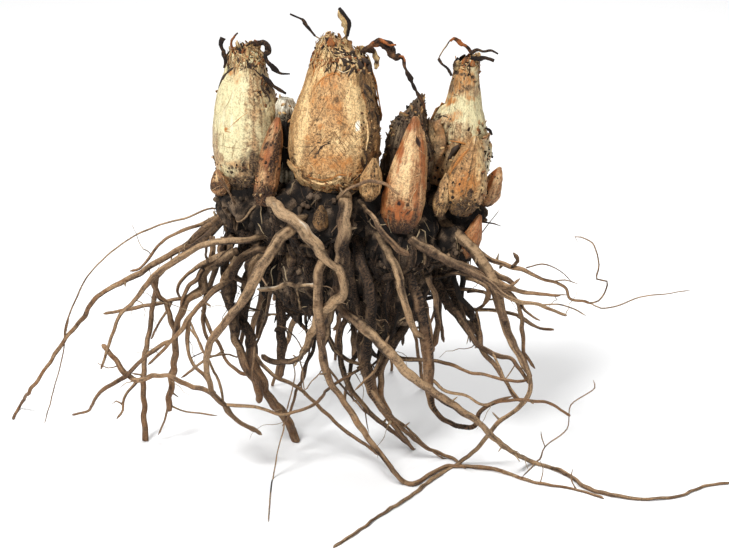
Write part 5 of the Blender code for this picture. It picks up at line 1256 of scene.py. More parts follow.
def grow_root(growth, route, girths, seed, pale=0.5, russet=0.2, ringed=0.0, tangle_darkening=1.0, coarse=1.0):
    """Adds one furrowed root along the route, its diameters in mm spread evenly along it.

    coarse is how many times as far apart its rings lie as on a root that shows.
    """
    sides, spacing = next(row[1:] for row in ROOT_DETAIL if max(girths) > row[0])
    if ringed and coarse == 1:
        spacing = RINGED_SPACING
    curve, along = bent(route, girths, seed, spacing * coarse * MM)
    share = np.linspace(0, 1, len(curve))
    radius = spread(girths, share) / 2
    knobs = [noise.noise(Vector((seed, *(curve[i, ::2] / KNOB_LENGTH)))) for i in range(len(curve))]
    turn = TAU * np.arange(sides) / sides + along / TWIST_LENGTH
    furrows = rough(round_grain(turn, along / 15 + seed * 7.3, 1.5), seed) * FURROW
    bark = rough(round_grain(turn, along / 5 + seed * 3.1, 3.5), seed + 9, 2) * BARK
    crease = wrinkled(turn, along, share[:, None], seed, ringed)
    shape = 1 + KNOBBLY * np.array(knobs)[:, None] + furrows + bark - WRINKLE * crease
    from_end = np.clip((along[-1] - along) / radius, 0.06, 1)
    shape = shape * np.sqrt(np.clip(1 - (1 - from_end) ** 2, 0, 1))
    spokes = spokes_of(curve, turn)
    rings = curve[:, None] + spokes * (radius * shape * MM)[..., None]
    tone = pale + 0.5 * cloud(round_grain(turn, along / 16, 0.5), seed + 2) + 1.8 * (furrows + bark)
    # Painted light: the upper side of each root is paler.
    tone = tone + 0.3 * smooth(spokes[..., 2] - 0.1, 0.8)
    # Painted shade: the underside is darker, and so is the root deep in the tangle, where soil darkens it too; it
    # is also darker down the furrows and in the wrinkle rings.
    under = smooth(-spokes[..., 2] - 0.1, 0.7)
    soil_and_painted_shade = tangle_darkening * soil_and_shade(rings) * (1.1 - 0.7 * pale) + 1.1 * crease - 2.4 * furrows + 0.3 * under
    soil_and_painted_shade = soil_and_painted_shade + 0.45 * smooth(cloud(round_grain(turn, along / 7, 0.7) + seed, seed + 6) - 0.15, 0.5)
    marks = marked(rings.shape[:2], tone, russet + 0.3 * share[:, None], soil_and_painted_shade)
    grain = round_grain(turn, along + seed * 31, float(radius.mean()))
    hollow = curve[0] + (rings[:1] - curve[0]) * 0.6 + (curve[1] - curve[0]) * 0.4
    rings = np.concatenate([hollow, rings])
    grain, marks = (np.concatenate([rows[:1], rows]) for rows in (grain, marks))
    marks[0] = (0, 0, 1.3)
    growth.add_rings(rings, hollow[0].mean(0), curve[-1], grain, marks)


def skin_at(shape, turn, share):
    """A bulb's skin at turns in degrees and shares of the height: places in mm, ways out, sheath edges."""
    foot, tip, girth, form, seed, sheaths = shape
    axis, side, front = (np.array(v) for v in axes_of(Vector(foot), Vector(tip)))
    turn, share = np.broadcast_arrays(turn, share)
    angle = np.radians(turn)
    spots = zip(np.cos(angle).ravel(), np.sin(angle).ravel(), share.ravel())
    swell = np.array([noise.noise(Vector((c, s, 2 * h + seed))) for c, s, h in spots]).reshape(turn.shape)
    covers = [sheath_at(turn, share, *sheath[:-1]) for sheath in sheaths]
    edges = sum((4 * cover * (1 - cover) for cover in covers), np.zeros(turn.shape))
    proud = SWELL * swell + sum(sheath[-1] * cover for sheath, cover in zip(sheaths, covers))
    heights, widths = zip(*form)
    size = girth / 2 * np.interp(share, heights, widths) + proud * min(1, girth / 20)
    out = np.cos(angle)[..., None] * side + np.sin(angle)[..., None] * front
    middle = np.array(foot) + (np.array(tip) - np.array(foot)) * share[..., None]
    return middle + out * size[..., None], out, edges


def axes_of(foot, tip):
    """The way up a bulb, and its right and its back."""
    axis = (tip - foot).normalized()
    side = Vector((0, 1, 0)).cross(axis).normalized()
    return axis, side, axis.cross(side)


def sheath_at(turn, share, facing, half_width, start, torn):
    """1 under a sheath at that turn and share of the height, 0 outside it, and between along its edge."""
    off = abs((turn - facing + 180) % 360 - 180)
    ragged = RAGGED * np.sin(np.radians(5 * turn + 3 * facing))
    ragged = ragged + 0.35 * RAGGED * cloud(round_grain(np.radians(turn), facing, 9))
    inside = np.minimum(torn + ragged - share, share - start + ragged if start else 1)
    return smooth(half_width - off, SHEATH_EDGE) * smooth(inside, 0.6 * RAGGED)


def spotted(places, rows):
    """How strongly soft-edged spots mark each place in mm, on the front only.

    A row is a spot's middle and half sizes in pixels of the front view, its tilt in degrees and its strength.
    """
    across, down = pixels(places * MM)
    uneven = 0.4 * rough(places / 3, 5)
    total = np.zeros(across.shape)
    for x, y, half_x, half_y, tilt, strength in rows:
        c, s = math.cos(math.radians(tilt)), math.sin(math.radians(tilt))
        off_x, off_y = across - x, down - y
        far = np.hypot((off_x * c + off_y * s) / half_x, (off_y * c - off_x * s) / half_y) + uneven
        spot = strength * smooth(1.5 - far, 1.0)
        total = np.where(abs(spot) > abs(total), spot, total)
    return total


def dabs(rows, seed):
    """Small marks at random inside outlines in the front view, as spotted has them.

    A row is how many, the longest half size in pixels, the lowest and highest tilt in degrees, the strength
    and the outline.
    """
    draw = random.Random(seed)
    for count, longest, tilts, strength, outline in rows:
        left, right = (reach(x for x, _ in outline) for reach in (min, max))
        top, foot = (reach(y for _, y in outline) for reach in (min, max))
        while count:
            x, y = draw.uniform(left, right), draw.uniform(top, foot)
            if inside(outline, x, y):
                count -= 1
                half = draw.uniform(0.4, 1) * longest
                yield x, y, half, half * draw.uniform(0.3, 0.7), draw.uniform(*tilts), strength


def grow_bulb(growth, name, shape, faces, relief, ground, slant=0.0):
    """Adds a bulb with ribs, fibres and lumps, all in mm, and the spots that its name has.

    slant is how much higher its neck is at the left than in the middle.
    """
    around, up = faces
    ribs, fibres, lumps = relief
    seed = shape[4]
    turn = 360 * np.arange(around) / around + 90
    share = (1 - np.cos(np.pi * np.arange(up + 1) / up)) / 2
    share = blend(np.arange(up + 1) / up, share, 0.5)[:, None]
    places, out, edges = skin_at(shape, turn, share)
    angle = np.radians(turn)
    tall = (Vector(shape[1]) - Vector(shape[0])).length
    rib = rough(round_grain(angle, share * 1.6 + seed, 5), seed)
    fibre = rough(round_grain(angle, share * tall / 9, 18), seed + 3, 2)
    lump = rough(round_grain(angle, share * 4, 1.6) + seed, seed + 6)
    places = places + out * (ribs * rib + fibres * fibre + lumps * lump)[..., None]
    places[..., 2] -= slant * np.cos(angle) * smooth(share - 0.8, 0.2)
    spots = MARKS.get(name, {})
    front = smooth(0.35 - out[..., 1], 0.4)
    dark = front * spotted(places, (*spots.get("soil", ()), *dabs(DABS.get(name, ()), seed)))
    places = places - out * (PIT * np.clip(dark - 0.4, 0, 1))[..., None]
    pale, russet, soil = ground
    pale = pale + front * spotted(places, spots.get("pale", ())) + 0.25 * lump + 0.3 * fibre
    russet = russet + front * spotted(places, spots.get("russet", ())) + 0.2 * rib
    seated = 1 - smooth(share, 0.22)
    soil = soil + dark + 0.8 * seated - 0.4 * fibre + 0.25 * edges
    grain = round_grain(angle, share * tall, shape[2] / 2)
    marks = marked(grain.shape[:2], pale, russet, soil)
    growth.add_rings(places * MM, np.array(shape[0]) * MM, np.array(shape[1]) * MM, grain, marks)


def cells(growth, count, seed, keep=None):
    """Random places on a growth's skin, with the way out at each, spread by area. keep picks from all cells."""
    corners, quads = np.vstack(growth.corners), np.vstack(growth.quads)
    a, b, c, d = (corners[quads[:, k]] for k in range(4))
    middles, across = (a + b + c + d) / 4, np.cross(c - a, d - b)
    areas = np.linalg.norm(across, axis=1)
    if keep is not None:
        areas = areas * keep(middles, unit(across))
    picks = np.random.default_rng(seed).choice(len(quads), count, p=areas / areas.sum())
    return [(Vector(middles[i]), Vector(across[i]).normalized()) for i in picks]


def open_cells(growth, tree, count, seed, keep=None):
    """Like cells, but only where nothing that the tree holds is close in front."""
    free = 0
    for place, out in cells(growth, 6 * count, seed, keep):
        if tree.ray_cast(place + out * CLEAR, out, OUTLOOK)[0] is None:
            free += 1
            yield place, out
        if free == count:
            return


def lying(low=-math.inf, high=math.inf, right=-math.inf, others=0.0):
    """A choice for cells() of places between two heights that face further right than a share.

    others is how likely the rest are, so that some place can always be picked.
    """
    def keep(places, out):
        return (places[:, 2] >= low) * (places[:, 2] <= high) * (out[:, 0] > right) + others
    return keep


def wandering(draw):
    """A random step to any side."""
    return Vector((draw.uniform(-1, 1), draw.uniform(-1, 1), draw.uniform(-1, 1)))


def creeping(tree, start, heading, step, steps, lift, draw, sag=0.2, wander=0.6):
    """A path that creeps over the skin that the tree holds, lift mm over it."""
    path, place = [], start
    for _ in range(steps):
        spot, out, _, _ = tree.find_nearest(place)
        path.append(spot + out * lift * MM)
        heading = heading + wandering(draw) * wander - Vector((0, 0, sag))
        heading = (heading - out * heading.dot(out)).normalized()
        place = spot + heading * step * MM
    return path


def grow_thread(growth, path, girths, seed, marks, sides=4):
    """Adds a thin thread or rootlet along the path, with its ends drawn out."""
    curve = through(path, THREAD_SPACING * MM)
    along = lengths_along(curve)[:, None]
    radius = spread(girths, np.linspace(0, 1, len(curve))) / 2
    radius = radius * (1 + 0.3 * cloud(round_grain(0 * along, along / 2.5 + seed * 5.7), seed))
    turn = TAU * np.arange(sides) / sides
    rings = curve[:, None] + spokes_of(curve, turn) * (radius * MM)[..., None]
    grain = round_grain(turn, along + seed * 17, 0.5)
    pale, russet, soil = marks
    marks = marked(rings.shape[:2], pale + 0.3 * cloud(grain / 6, seed), russet, soil)
    ends = (curve[0] * 2 - curve[1], curve[-1] * 1.5 - curve[-2] * 0.5)
    growth.add_rings(rings, *ends, grain, marks)


def grow_crumb(growth, place, size, draw, marks):
    """Adds a small crumb of soil."""
    seed = draw.randrange(1000)
    out = ball(*CRUMB_FACES, draw.random())
    sizes = size * np.array([draw.uniform(0.7, 1.3) for _ in range(3)])
    reach = sizes * (1 + 0.5 * cloud(out * 1.7 + seed, 3))[..., None]
    rings = np.array(place) + out * reach * MM
    poles = [np.array(place) + np.array((0, 0, z * size * MM)) for z in (-1, 1)]
    grain = out * size * 2 + seed
    growth.add_rings(rings, *poles, grain, marked(out.shape[:2], *marks))


def on_skin(tree, points, lift):
    """A path over the skin that the tree holds, along a line of the front view."""
    path = []
    for across, down in through(points, 3):
        spot, out, _, _ = tree.ray_cast(EYE, sight(across, down))
        if spot:
            path.append(spot + out * lift * MM)
    return path


def grow_leaf(growth, route, widths, seed, facing, curl=0.25, thickness=0.35, marks=(0.3, 0.4, 0.3), twist=0.0,
              detail=9, torn=0.35):
    """Adds a dried strip along the route, crinkled, curled across and ragged, its widths in mm along it."""
    curve = through(route, LEAF_SPACING * MM)
    ahead = headings(curve)
    along = lengths_along(curve)[:, None]
    share = np.linspace(0, 1, len(curve))
    across = unit(np.cross(ahead, facing))
    deep = np.cross(ahead, across)
    turned = (twist * share + 0.5 * cloud(round_grain(0 * share, along[:, 0] / 5 + seed * 3), seed))[:, None]
    c, s = np.cos(turned), np.sin(turned)
    across, deep = across * c + deep * s, deep * c - across * s
    u = np.linspace(-1, 1, detail)
    width = spread(widths, share) / 2
    edge = 1 + torn * cloud(round_grain(np.sign(u) * 2, along / 1.3 + seed), seed + 1) * abs(u)
    crinkle = rough(stacked(u * 1.5, along / 2.2, seed * 5.1), seed + 2)
    lift = width * (curl * u * u + 0.22 * crinkle)
    off = across[:, None] * (u * width * edge)[..., None] + deep[:, None] * lift[..., None]
    middle = curve[:, None] + off * MM
    half = deep[:, None] * (thickness * MM / 2 * (1.05 - 0.6 * u * u))[:, None]
    grain = stacked(u * width, 0 * along, along + seed * 11)
    pale, russet, soil = marks
    dark = soil + 0.9 * cloud(grain / 2.2, seed + 4)
    marks = marked(middle.shape[:2], pale + 0.4 * crinkle, russet + 0.5 * abs(u) ** 3, dark)
    growth.add_sheet(middle + half, middle - half, grain, marks)


def grow_scrap(growth, shape, turns, shares, lift, curls, seed, ground):
    """Adds a papery scrap of tunic on a bulb, its edges ragged. curls is mm at the foot, top, left and right."""
    u, v = np.linspace(0, 1, SCRAP_GRID)[None, :], np.linspace(0, 1, SCRAP_GRID)[:, None]
    wide, tall = turns[1] - turns[0], shares[1] - shares[0]
    bays = cloud(stacked(seed * 3.7, v * 7, u > 0.5), seed) * (abs(2 * u - 1) ** 2)
    notches = cloud(stacked(u * 9, seed * 2.3, v > 0.5), seed + 1) * (abs(2 * v - 1) ** 2)
    turn = turns[0] + wide * (u + 0.16 * bays * np.sign(u - 0.5))
    share = np.clip(shares[0] + tall * (v + 0.14 * notches * np.sign(v - 0.5)), 0, 1)
    places, out, _ = skin_at(shape, turn, share)
    foot, top, left, right = curls
    curl = foot * (1 - v) ** 4 + top * v**4 + left * (1 - u) ** 4 + right * u**4
    angle = np.radians(turn)
    wrinkle = rough(round_grain(angle, share * 6 + seed, 5), seed + 2)
    raised = places + out * (lift + curl + 0.3 * wrinkle)[..., None]
    tall_mm = (Vector(shape[1]) - Vector(shape[0])).length
    grain = round_grain(angle, share * tall_mm, shape[2] / 2)
    pale, russet, soil = ground
    rim = np.maximum(abs(2 * u - 1), abs(2 * v - 1)) ** 6
    marks = marked(grain.shape[:2], pale + 0.4 * wrinkle, russet + 0.4 * rim, soil + 0.3 * wrinkle)
    growth.add_sheet(raised * MM, (raised - out * 0.3) * MM, grain, marks)


def grounded(route, girths):
    """Lays a root on the floor where it meets it, or runs its steep end in, to be cut flat by the floor."""
    last = len(route) - 1
    on_floor = route[last].z < 1 * MM
    for i, place in enumerate(route):
        place.z = max(place.z, between(girths, i / last) * MM * FLOOR_SHARE)
    drop = route[last - 1] - route[last]
    if on_floor and drop.z > drop.xy.length * 0.5:
        route[last].z = -1 * MM
    return route


def hidden_root_routes():
    """Roots with their diameters: most hang or stand at the back, some inside."""
    draw = random.Random(SEED)
    ends = [Vector((x, y, 0)) for x, y in BACK_FEET]
    for _ in range(HANGING_ROOTS):
        y = draw.uniform(*HANGING_DEPTHS)
        lowest = 34 - y * math.tan(VIEW_TILT)  # lower ones would show below the front roots
        ends.append(Vector((draw.uniform(-56, 46), y, draw.uniform(lowest, 62))))
    for _ in range(INNER_ROOTS):
        ends.append(Vector((draw.uniform(-34, 28), draw.uniform(-20, 10), draw.uniform(38, 56))))
    routes = []
    for end in ends:
        start = Vector((end.x * 0.5, min(10, end.y * 0.3), HIGH - 9 - draw.uniform(0, 6)))
        route = hanging_route(start, end, draw)
        stout = draw.uniform(*STOUTNESS)
        routes.append((route, (stout, stout, stout * 0.75, stout * draw.uniform(0.4, 0.6), 1.4)))
        if draw.random() < FORKED_SHARE:
            routes.append(side_root(route, draw))
    return routes


def hanging_route(start, end, draw):
    """From the crown outwards and then down to the end, with a sway."""
    arch, sway, turn = draw.uniform(1.2, 2.0), draw.uniform(-SWAY, SWAY), draw.uniform(0, TAU)
    across = Vector((end.y - start.y, start.x - end.x, 0)).normalized()
    steps = 6
    route = []
    for step in range(steps + 1):
        t = step / steps
        place = start.lerp(end, t**0.85)
        place.z = start.z + (end.z - start.z) * t**arch
        place += across * (sway * math.sin(t * math.pi) + 2.5 * t * (1 - t) * math.sin(turn + 8 * t))
        route.append(place * MM)
    return route


def side_root(route, draw):
    """A thin root that forks off another one about half way along."""
    fork = draw.choice((2, 3, 4))
    place = route[fork].copy()
    heading = (route[fork + 1] - place).normalized()
    heading = Matrix.Rotation(draw.uniform(0.5, 1.0) * draw.choice((-1, 1)), 3, "Z") @ heading
    side_route = [place]
    for _ in range(4):
        heading = (heading + Vector((draw.uniform(-0.3, 0.3), draw.uniform(-0.3, 0.3), -0.25))).normalized()
        place = place + heading * draw.uniform(5, 11) * MM
        side_route.append(place)
    return side_route, (1.7, 1.4, 1.2, 1.0)


def seen_route(points, girths):
    """A root's route through points of the front view, laid on the floor where it meets it."""
    return grounded([seen(*point) for point in points], girths)


def build_roots():
    """The roots that show in the front view, those at the back and inside, and the fine ones."""
    front, back, fine = Growth(), Growth(), Growth()
    for seed, (name, (girths, points)) in enumerate(SEEN_ROOTS.items()):
        girths = [girth - SLIMMER * max(0, girth - STOUT) for girth in girths]
        grow_root(front, seen_route(points, girths), girths, seed, *ROOT_LOOKS.get(name, OTHER_LOOK))
    for seed, (route, girths) in enumerate(hidden_root_routes(), len(SEEN_ROOTS)):
        grow_root(back, grounded(route, girths), girths, seed, *BACK_LOOK, coarse=BACK_COARSE)
    for first, roots, look in ((200, FINE_ROOTS, FINE_LOOK), (260, DARK_ROOTS, DARK_LOOK)):
        for seed, (girths, points) in enumerate(roots, first):
            grow_root(fine, seen_route(points, girths), girths, seed, *look)
    return front, back, fine


def tangle_path(start, heading, draw):
    """Where a root of the tangle goes: on until it would leave the outline, reach the floor or close a gap."""
    path = [start]
    for _ in range(draw.randint(6, 12)):
        place = path[-1] + heading * draw.uniform(4, 8) * MM
        across, down = pixels(np.array(place))
        open_gap = any(math.hypot(across - x, down - y) < size for x, y, size in OPEN_GAPS)
        if place.z < 3 * MM or open_gap or not inside(TANGLE_OUTLINE, across, down):
            break
        path.append(place)
        heading = (heading + wandering(draw) * 0.45 - Vector((0, 0, 0.12))).normalized()
    return path


def build_tangle(crown, tree):
    """The dark thinner roots under the crown, which show between the others."""
    tangle = Growth()
    draw = random.Random(44)
    starts = open_cells(crown, tree, TANGLE_ROOTS, 9, lying(high=(HIGH - 14) * MM))
    for seed, (place, out) in enumerate(starts, 700):
        girth = draw.uniform(1.1, 2.8)
        heading = (out * 0.7 + Vector((0, 0, -0.8))).normalized()
        path = tangle_path(place - out * girth * MM, heading, draw)
        if len(path) > 3:
            girths = (girth, girth, girth * 0.8, girth * 0.5)
            pale, ringed = draw.uniform(0, 0.3), draw.choice((0, 0, 0.5))
            # These take 1.5 times the soil and painted shade of the tangle.
            grow_root(tangle, path, girths, seed, pale, 0.15, ringed, 1.5, TANGLE_COARSE)
    return tangle


def within_reach(places, out):
    """Which places hair roots and stubs may grow on."""
    return abs(places[:, 0]) < HAIR_REACH * MM


def build_hairs(front, back):
    """Hair roots that branch off the roots, outwards and down, and stubs of broken side roots."""
    hairs = Growth()
    draw = random.Random(31)
    for source, count in ((front, HAIRS_FRONT), (back, HAIRS_BACK)):
        for seed, (place, out) in enumerate(cells(source, count, 31, within_reach)):
            heading = (out + wandering(draw) * 0.8 - Vector((0, 0, 0.3))).normalized()
            step = draw.choice((1.0, 1.6, 2.6))
            path = [place - out * 0.3 * MM]
            for _ in range(draw.randint(5, 10)):
                path.append(path[-1] + heading * step * draw.uniform(0.7, 1.3) * MM)
                heading = (heading + wandering(draw) * 0.6 - Vector((0, 0, 0.12))).normalized()
            if min(spot.z for spot in path) > 1 * MM:
                girth = draw.uniform(0.3, 0.55)
                grow_thread(hairs, path, (girth, girth * 0.45), seed, (0.35, 0.3, 0.1), 4)
    for seed, (place, out) in enumerate(cells(front, SPURS, 32, within_reach)):
        heading = (out + wandering(draw) * 0.5).normalized()
        reaches = (-0.4, 0.5, draw.uniform(0.9, 1.6), draw.uniform(1.7, 3.5))
        path = [place + heading * reach * MM for reach in reaches]
        girth = draw.uniform(0.6, 1.2)
        if min(spot.z for spot in path) > 1 * MM:
            grow_thread(hairs, path, (girth * 1.2, girth, girth * 0.6), seed, (0.3, 0.3, 0.3), 5)
    return hairs


def build_crown():
    """The knobs of the crown, lumpy, paler on the raised lumps and darker in the hollows."""
    crown = Growth()
    out = ball(*CROWN_FACES)
    for seed, (middle, size) in enumerate(CROWN_KNOBS):
        swell = [noise.noise(Vector(spot) * 1.7 + Vector((seed, 0, 0))) for spot in out.reshape(-1, 3)]
        swell = 1 + LOBES * np.array(swell).reshape(out.shape[:2])
        places = np.array(middle) + out * np.array(size) * swell[..., None]
        relief = 1.1 * rough(places / 5, seed) + 1.1 * rough(places / np.array((1.9, 1.9, 6)), seed + 3)
        places = places + out * relief[..., None]
        ends = [(np.array(middle) + np.array((0, 0, z))) * MM for z in (-size[2], size[2])]
        # Paler on the raised lumps, darker in the hollows between them.
        tone = 0.55 * relief + 0.35 * cloud(places / 2.2, seed + 5)
        marks = marked(out.shape[:2], 0.2 + tone, 0.1, 0.62 - tone)
        crown.add_rings(places * MM, *ends, places, marks)
    return crown


def at_crown_foot(places, out):
    """Which places on the crown carry root bases."""
    return (places[:, 2] < (HIGH + 3) * MM) * (out[:, 2] < 0.6) * (places[:, 0] < 39 * MM)


def build_root_bases(crown, tree):
    """Stubs and bases of roots that lie against the crown."""
    bases = Growth()
    draw = random.Random(12)
    for seed, (place, out) in enumerate(open_cells(crown, tree, ROOT_BASES, 5, at_crown_foot), 300):
        girth = draw.choice((1.0, 1.4, 1.8, 2.4, 3.2))
        heading = Vector((0, 0, -1)) + out * 0.3 + wandering(draw) * 0.35
        step, steps = draw.uniform(2.4, 3.6), draw.randint(5, 11)
        path = creeping(tree, place, heading, step, steps, girth * 0.15, draw, 0.5, 0.14)
        tip = path[-1] + (out * 0.6 + Vector((0, 0, -1))).normalized() * draw.uniform(1, 6) * MM
        girths = (girth * 0.8, girth, girth * 0.75, girth * 0.4)
        grow_root(bases, [*path, tip], girths, seed, draw.choice((0.0, 0.1, 0.35, 0.6)), 0.1, 0, 0.95, BASE_COARSE)
    return bases


def build_crown_fibres(crown, tree):
    """Dead fibres that creep over the crown."""
    fibres = Growth()
    draw = random.Random(3)
    for seed, (place, out) in enumerate(open_cells(crown, tree, CROWN_THREADS, 8)):
        heading, step, steps = wandering(draw), draw.uniform(0.9, 2.2), draw.randint(3, 7)
        path = creeping(tree, place, heading, step, steps, 0.12, draw, 0.2, 0.3)
        girth = draw.uniform(0.3, 0.8)
        grow_thread(fibres, path, (girth, girth * 0.5), seed, draw.choice(CROWN_TONES), 3)
    return fibres


def creases():
    """The slanting creases on the middle bulb, as rows of SKIN_LINES."""
    first, last, count, (half_x, half_y), girth = HATCHING
    for k in range(count):
        x, y = (blend(a, b, k / (count - 1)) for a, b in zip(first, last))
        yield FINE_DARK_LINE, girth, ((x - half_x, y - half_y), (x, y), (x + half_x, y + half_y))


def add_fibres(bulbs, tree):
    """Fibres half sunk in the skins, and the lines and slanting creases on them."""
    draw = random.Random(5)
    for name, count in FIBRES:
        skin = bulbs[name][0]
        for seed, (place, out) in enumerate(list(open_cells(skin, tree, count, 8))):
            heading = wandering(draw) + Vector((0, 0, draw.choice((-1, 1))))
            path = creeping(tree, place, heading, draw.uniform(0.8, 1.8), draw.randint(3, 7), 0.05, draw, 0, 0.3)
            girth = draw.uniform(0.15, 0.35)
            grow_thread(skin, path, (girth, girth * 0.5), seed, draw.choice(FIBRE_TONES), 3)
    trees = {name: bulbs[name][0].tree() for name in SKIN_LINES}
    lines = [(name, *row) for name, rows in SKIN_LINES.items() for row in rows]
    lines += [("bulb_middle", *row) for row in creases()]
    for seed, (name, marks, girth, points) in enumerate(lines):
        path = on_skin(trees[name], points, 0)
        if len(path) > 1:
            grow_thread(bulbs[name][0], path, (girth * 0.5, girth, girth * 0.5), seed, marks, 6)


def build_flakes(bulbs, tree):
    """Ragged flakes of old skin."""
    flakes = Growth()
    draw = random.Random(17)
    for name, count, low, high, longest, tones, side in FLAKES:
        foot, top = (corner.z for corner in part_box(name))
        foot, top = foot + low * (top - foot), foot + high * (top - foot)
        keep = lying(foot, top + 5 * MM, side, 1e-9)
        for seed, (place, out) in enumerate(open_cells(bulbs[name][0], tree, count, 2, keep)):
            heading = (Vector((0, 0, 1)) + wandering(draw) * 0.9).normalized()
            heading = (heading - out * heading.dot(out) * 0.9).normalized()
            length, width = draw.uniform(0.4, 1) * longest, draw.uniform(0.8, 1.8)
            mid = place + (heading * length * 0.5 + out * draw.uniform(0.0, 0.3)) * MM
            end = place + (heading * length + out * draw.uniform(-0.4, 0.9)) * MM
            route = [place - out * 0.3 * MM, mid, end]
            widths = (width, width, width * 0.4)
            grow_leaf(flakes, route, widths, seed, out, 0.4, 0.28, draw.choice(tones), 0.3, 5)
    return flakes


def build_crumbs(crown, bases, bulbs, tree):
    """Crumbs of soil and skin that stick to the crown, the root bases and the feet of the bulbs."""
    crumbs = Growth()
    draw = random.Random(21)
    sources = [(crown, CRUMBS, 9, 1.1), (bases, CRUMBS // 2, 9, 1.1)]
    sources += [(bulbs[name][0], count, share, 0.45) for name, count, share in SKIN_CRUMBS]
    for source, count, highest, largest in sources:
        foot, top = (reach(np.vstack(source.corners)[:, 2]) for reach in (np.min, np.max))
        keep = lying(high=foot + (top - foot) * highest, others=1e-9)
        for place, out in open_cells(source, tree, count, 6, keep):
            size = 0.25 + largest * draw.random() ** 3
            marks = (draw.uniform(0, 1.2), 0.1, draw.uniform(-0.2, 1))
            grow_crumb(crumbs, place + out * size * 0.4 * MM, size, draw, marks)
    for (across, down), size, marks in BUDS:
        for place in on_skin(tree, ((across, down), (across + 1, down)), 0.3 * size)[:1]:
            grow_crumb(crumbs, Vector(place), size, draw, marks)
    return crumbs


def build_bulbs():
    """One growth for each bulb, offset and old bulb, by name, with its finish."""
    grown, shapes = {}, {}
    for seed, (name, row) in enumerate(BULBS.items(), 20):
        faces, relief, ground, slant = BULB_DETAIL[name]
        shapes[name] = (row["foot"], row["tip"], row["girth"], row["form"], seed, row["sheaths"])
        grown[name] = Growth(), row["skin"]
        grow_bulb(grown[name][0], name, shapes[name], faces, relief, ground, slant)
    for seed, (name, (foot, tip, girth, finish)) in enumerate(OFFSETS.items()):
        form = {"offset_front": FRONT_FORM, "offset_slim": SLIM_FORM}.get(name, OFFSET_FORM)
        faces = STOUT_FACES if girth > STOUT_OFFSET else SLIM_FACES
        grown[name] = Growth(), finish
        ground = OFFSET_GROUND.get(name, OTHER_GROUND)
        shape = (foot, tip, girth, form, seed, OFFSET_SHEATHS.get(name, OTHER_SHEATHS))
        grow_bulb(grown[name][0], name, shape, faces, OFFSET_RELIEF, ground)
    for seed, (name, (foot, tip, girth, finish)) in enumerate(OLD_BULBS.items(), 30):
        grown[name] = Growth(), finish
        shape = (foot, tip, girth, OLD_FORM, seed, ())
        grow_bulb(grown[name][0], name, shape, OLD_FACES, OLD_RELIEF, OLD_GROUND, OLD_SLANT[name])
    for seed, (name, turns, shares, lift, curls, ground) in enumerate(SCRAPS, 40):
        grow_scrap(grown[name][0], shapes[name], turns, shares, lift, curls, seed, ground)
    return grown


def add_leaf_ends(leaves, bulb_name, longest, draw):
    """Adds torn leaf ends round a bulb's cut neck, the longest of them that many mm."""
    row, slant = BULBS[bulb_name], BULB_DETAIL[bulb_name][-1]
    tip = Vector(row["tip"])
    axis, side, back = axes_of(Vector(row["foot"]), tip)
    radius = row["girth"] / 2 * NECK
    for k in range(LEAF_ENDS):
        turn = TAU * (k + draw.uniform(-0.4, 0.4)) / LEAF_ENDS
        out = side * math.cos(turn) + back * math.sin(turn)
        reach = draw.choice((0.95, 0.8, 0.5, 0.2))
        length = draw.uniform(0.4, 1.1) * longest
        base = tip + axis * (LEAF_GAP - slant * math.cos(turn) * reach)
        root = base - axis * 2.2 + out * radius * reach
        mid = base + axis * length * 0.4 + out * (radius * reach + 0.4)
        end = base + axis * length * 0.9 + out * (radius * reach + length * draw.uniform(-0.6, 0.4))
        end += wandering(draw)
        width = draw.uniform(1.2, 3.0)
        route, widths = [place * MM for place in (root, mid, end)], (width, width, width * 0.4)
        grow_leaf(leaves, route, widths, k, out, 0.4, 0.3, draw.choice(NECK_TONES), 0.4)


def add_neck_fibres(leaves, skin, bulb_name, draw):
    """Adds loose fibres on a bulb's neck."""
    foot, tip = (Vector(BULBS[bulb_name][end]) for end in ("foot", "tip"))
    tree = skin.tree()
    start, count = NECK_FIBRES[bulb_name]
    keep = lying(low=(foot + (tip - foot) * start).z * MM)
    for seed, (place, out) in enumerate(cells(skin, count, 14, keep)):
        heading = Vector((0, 0, 1.2)) + wandering(draw)
        path = creeping(tree, place, heading, draw.uniform(0.9, 2.0), draw.randint(3, 6), 0.3, draw, -0.25, 0.6)
        loose = path[-1] + (path[-1] - path[-2]) + wandering(draw) * 1.2 * MM
        girth = draw.uniform(0.25, 0.6)
        grow_thread(leaves, [*path, loose], (girth, girth, girth * 0.4), seed, draw.choice(NECK_TONES))


def build_leaves(bulbs):
    """The torn neck of each bulb: its torn leaf ends, fibres and long strands."""
    grown = {}
    for name, (bulb_name, ends, longest) in STUMPS.items():
        leaves = grown[name] = Growth()
        draw = random.Random(len(name) + ends)
        add_leaf_ends(leaves, bulb_name, longest, draw)
        add_neck_fibres(leaves, bulbs[bulb_name][0], bulb_name, draw)
        for seed, (marks, widths, points) in enumerate(STRANDS[name], 60):
            route = [seen(*point) for point in points]
            thickness = 0.5 if max(widths) > 2 else 0.4 * max(widths)
            grow_leaf(leaves, route, widths, seed, STRAND_FACING, 0.5, thickness, marks, 0.8, 9, 0.8)
    return grown


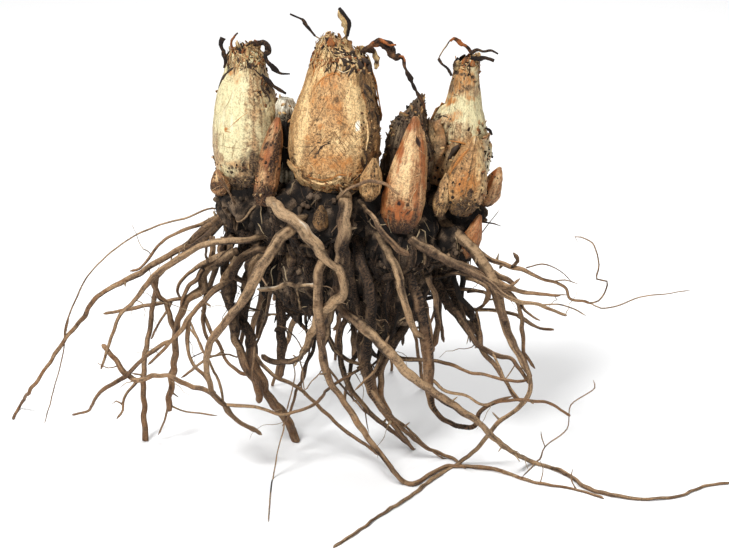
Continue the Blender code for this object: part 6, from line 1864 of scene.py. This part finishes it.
def build_floor():
    """A pale floor under the lowest roots."""
    floor = bpy.data.meshes.new("floor")
    corners = [(x * FLOOR_REACH, y * FLOOR_REACH, -FLOOR_DROP) for x, y in ((-1, -1), (1, -1), (1, 1), (-1, 1))]
    floor.from_pydata(corners, [], [(0, 1, 2, 3)])
    ground = bpy.data.objects.new("floor", floor)
    bpy.context.scene.collection.objects.link(ground)
    paper = bpy.data.materials.new("paper_floor")
    paper.use_nodes = True
    shader = paper.node_tree.nodes["Principled BSDF"]
    shader.inputs["Base Color"].default_value = (0.9, 0.9, 0.9, 1)
    shader.inputs["Roughness"].default_value = 0.9
    floor.materials.append(paper)
    ground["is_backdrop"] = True


def build_lights():
    """Soft light from above and the front, and a white studio round it all."""
    for name, place, size, power in LIGHTS:
        light = bpy.data.lights.new(name, "AREA")
        light.size, light.energy = size, power
        lamp = bpy.data.objects.new(name, light)
        lamp.location = place
        lamp.rotation_euler = (LOOK_AT - Vector(place)).to_track_quat("-Z", "Y").to_euler()
        bpy.context.scene.collection.objects.link(lamp)
    world = bpy.data.worlds.new("studio")
    world.use_nodes = True
    sky = world.node_tree.nodes["Background"]
    sky.inputs["Color"].default_value = (1, 1, 1, 1)
    sky.inputs["Strength"].default_value = WORLD_STRENGTH
    bpy.context.scene.world = world


def build_camera():
    """The camera of the front view."""
    scene = bpy.context.scene
    scene.view_settings.view_transform = "Standard"
    camera = bpy.data.objects.new("camera", bpy.data.cameras.new("camera"))
    camera.data.lens = camera.data.sensor_width * VIEW_DISTANCE / PIXEL / VIEW_WIDTH
    camera.location = EYE
    camera.rotation_euler = (math.pi / 2 - VIEW_TILT, 0, 0)
    scene.collection.objects.link(camera)
    scene.camera = camera


def main():
    """Builds every piece, then the floor, the lights and the camera."""
    noise.seed_set(SEED)
    front, back, fine = build_roots()
    crown = build_crown()
    bulbs = build_bulbs()
    whole = Growth()
    for growth in (crown, *(growth for growth, _ in bulbs.values())):
        rows = (growth.corners, growth.grain, growth.marks, growth.quads, growth.triangles)
        whole.add(*(np.vstack(blocks) for blocks in rows))
    tree = whole.tree()
    bases = build_root_bases(crown, tree)
    for name, growth in (
        ("roots_front", front), ("roots_back", back), ("roots_fine", fine), ("root_bases", bases),
        ("roots_tangled", build_tangle(crown, tree)),
    ):
        growth.piece(name, FINISHES["root_brown"], "root_brown", "crown_with_roots")
    crown.piece("crown", FINISHES["soil"], "root_brown", "crown_with_roots")
    build_hairs(front, back).piece("hair_roots", FINISHES["hair_root"], "root_brown")
    build_crumbs(crown, bases, bulbs, tree).piece("soil_crumbs", FINISHES["soil"], "root_brown")
    build_crown_fibres(crown, tree).piece("dead_fibres", FINISHES["hair_root"], "dry_leaf")
    build_flakes(bulbs, tree).piece("skin_flakes", FINISHES["dry_leaf"], "dry_leaf")
    leaves = build_leaves(bulbs)
    add_fibres(bulbs, tree)
    for name, (growth, finish) in bulbs.items():
        growth.piece(name + "_skin", FINISHES[finish], finish, name)
    for name, growth in leaves.items():
        growth.piece(name + "_torn", FINISHES["dry_leaf"], "dry_leaf", name)
    build_floor()
    build_lights()
    build_camera()


main()
[[list(corner) for corner in box] for box in (CAD_BOX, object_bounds())]
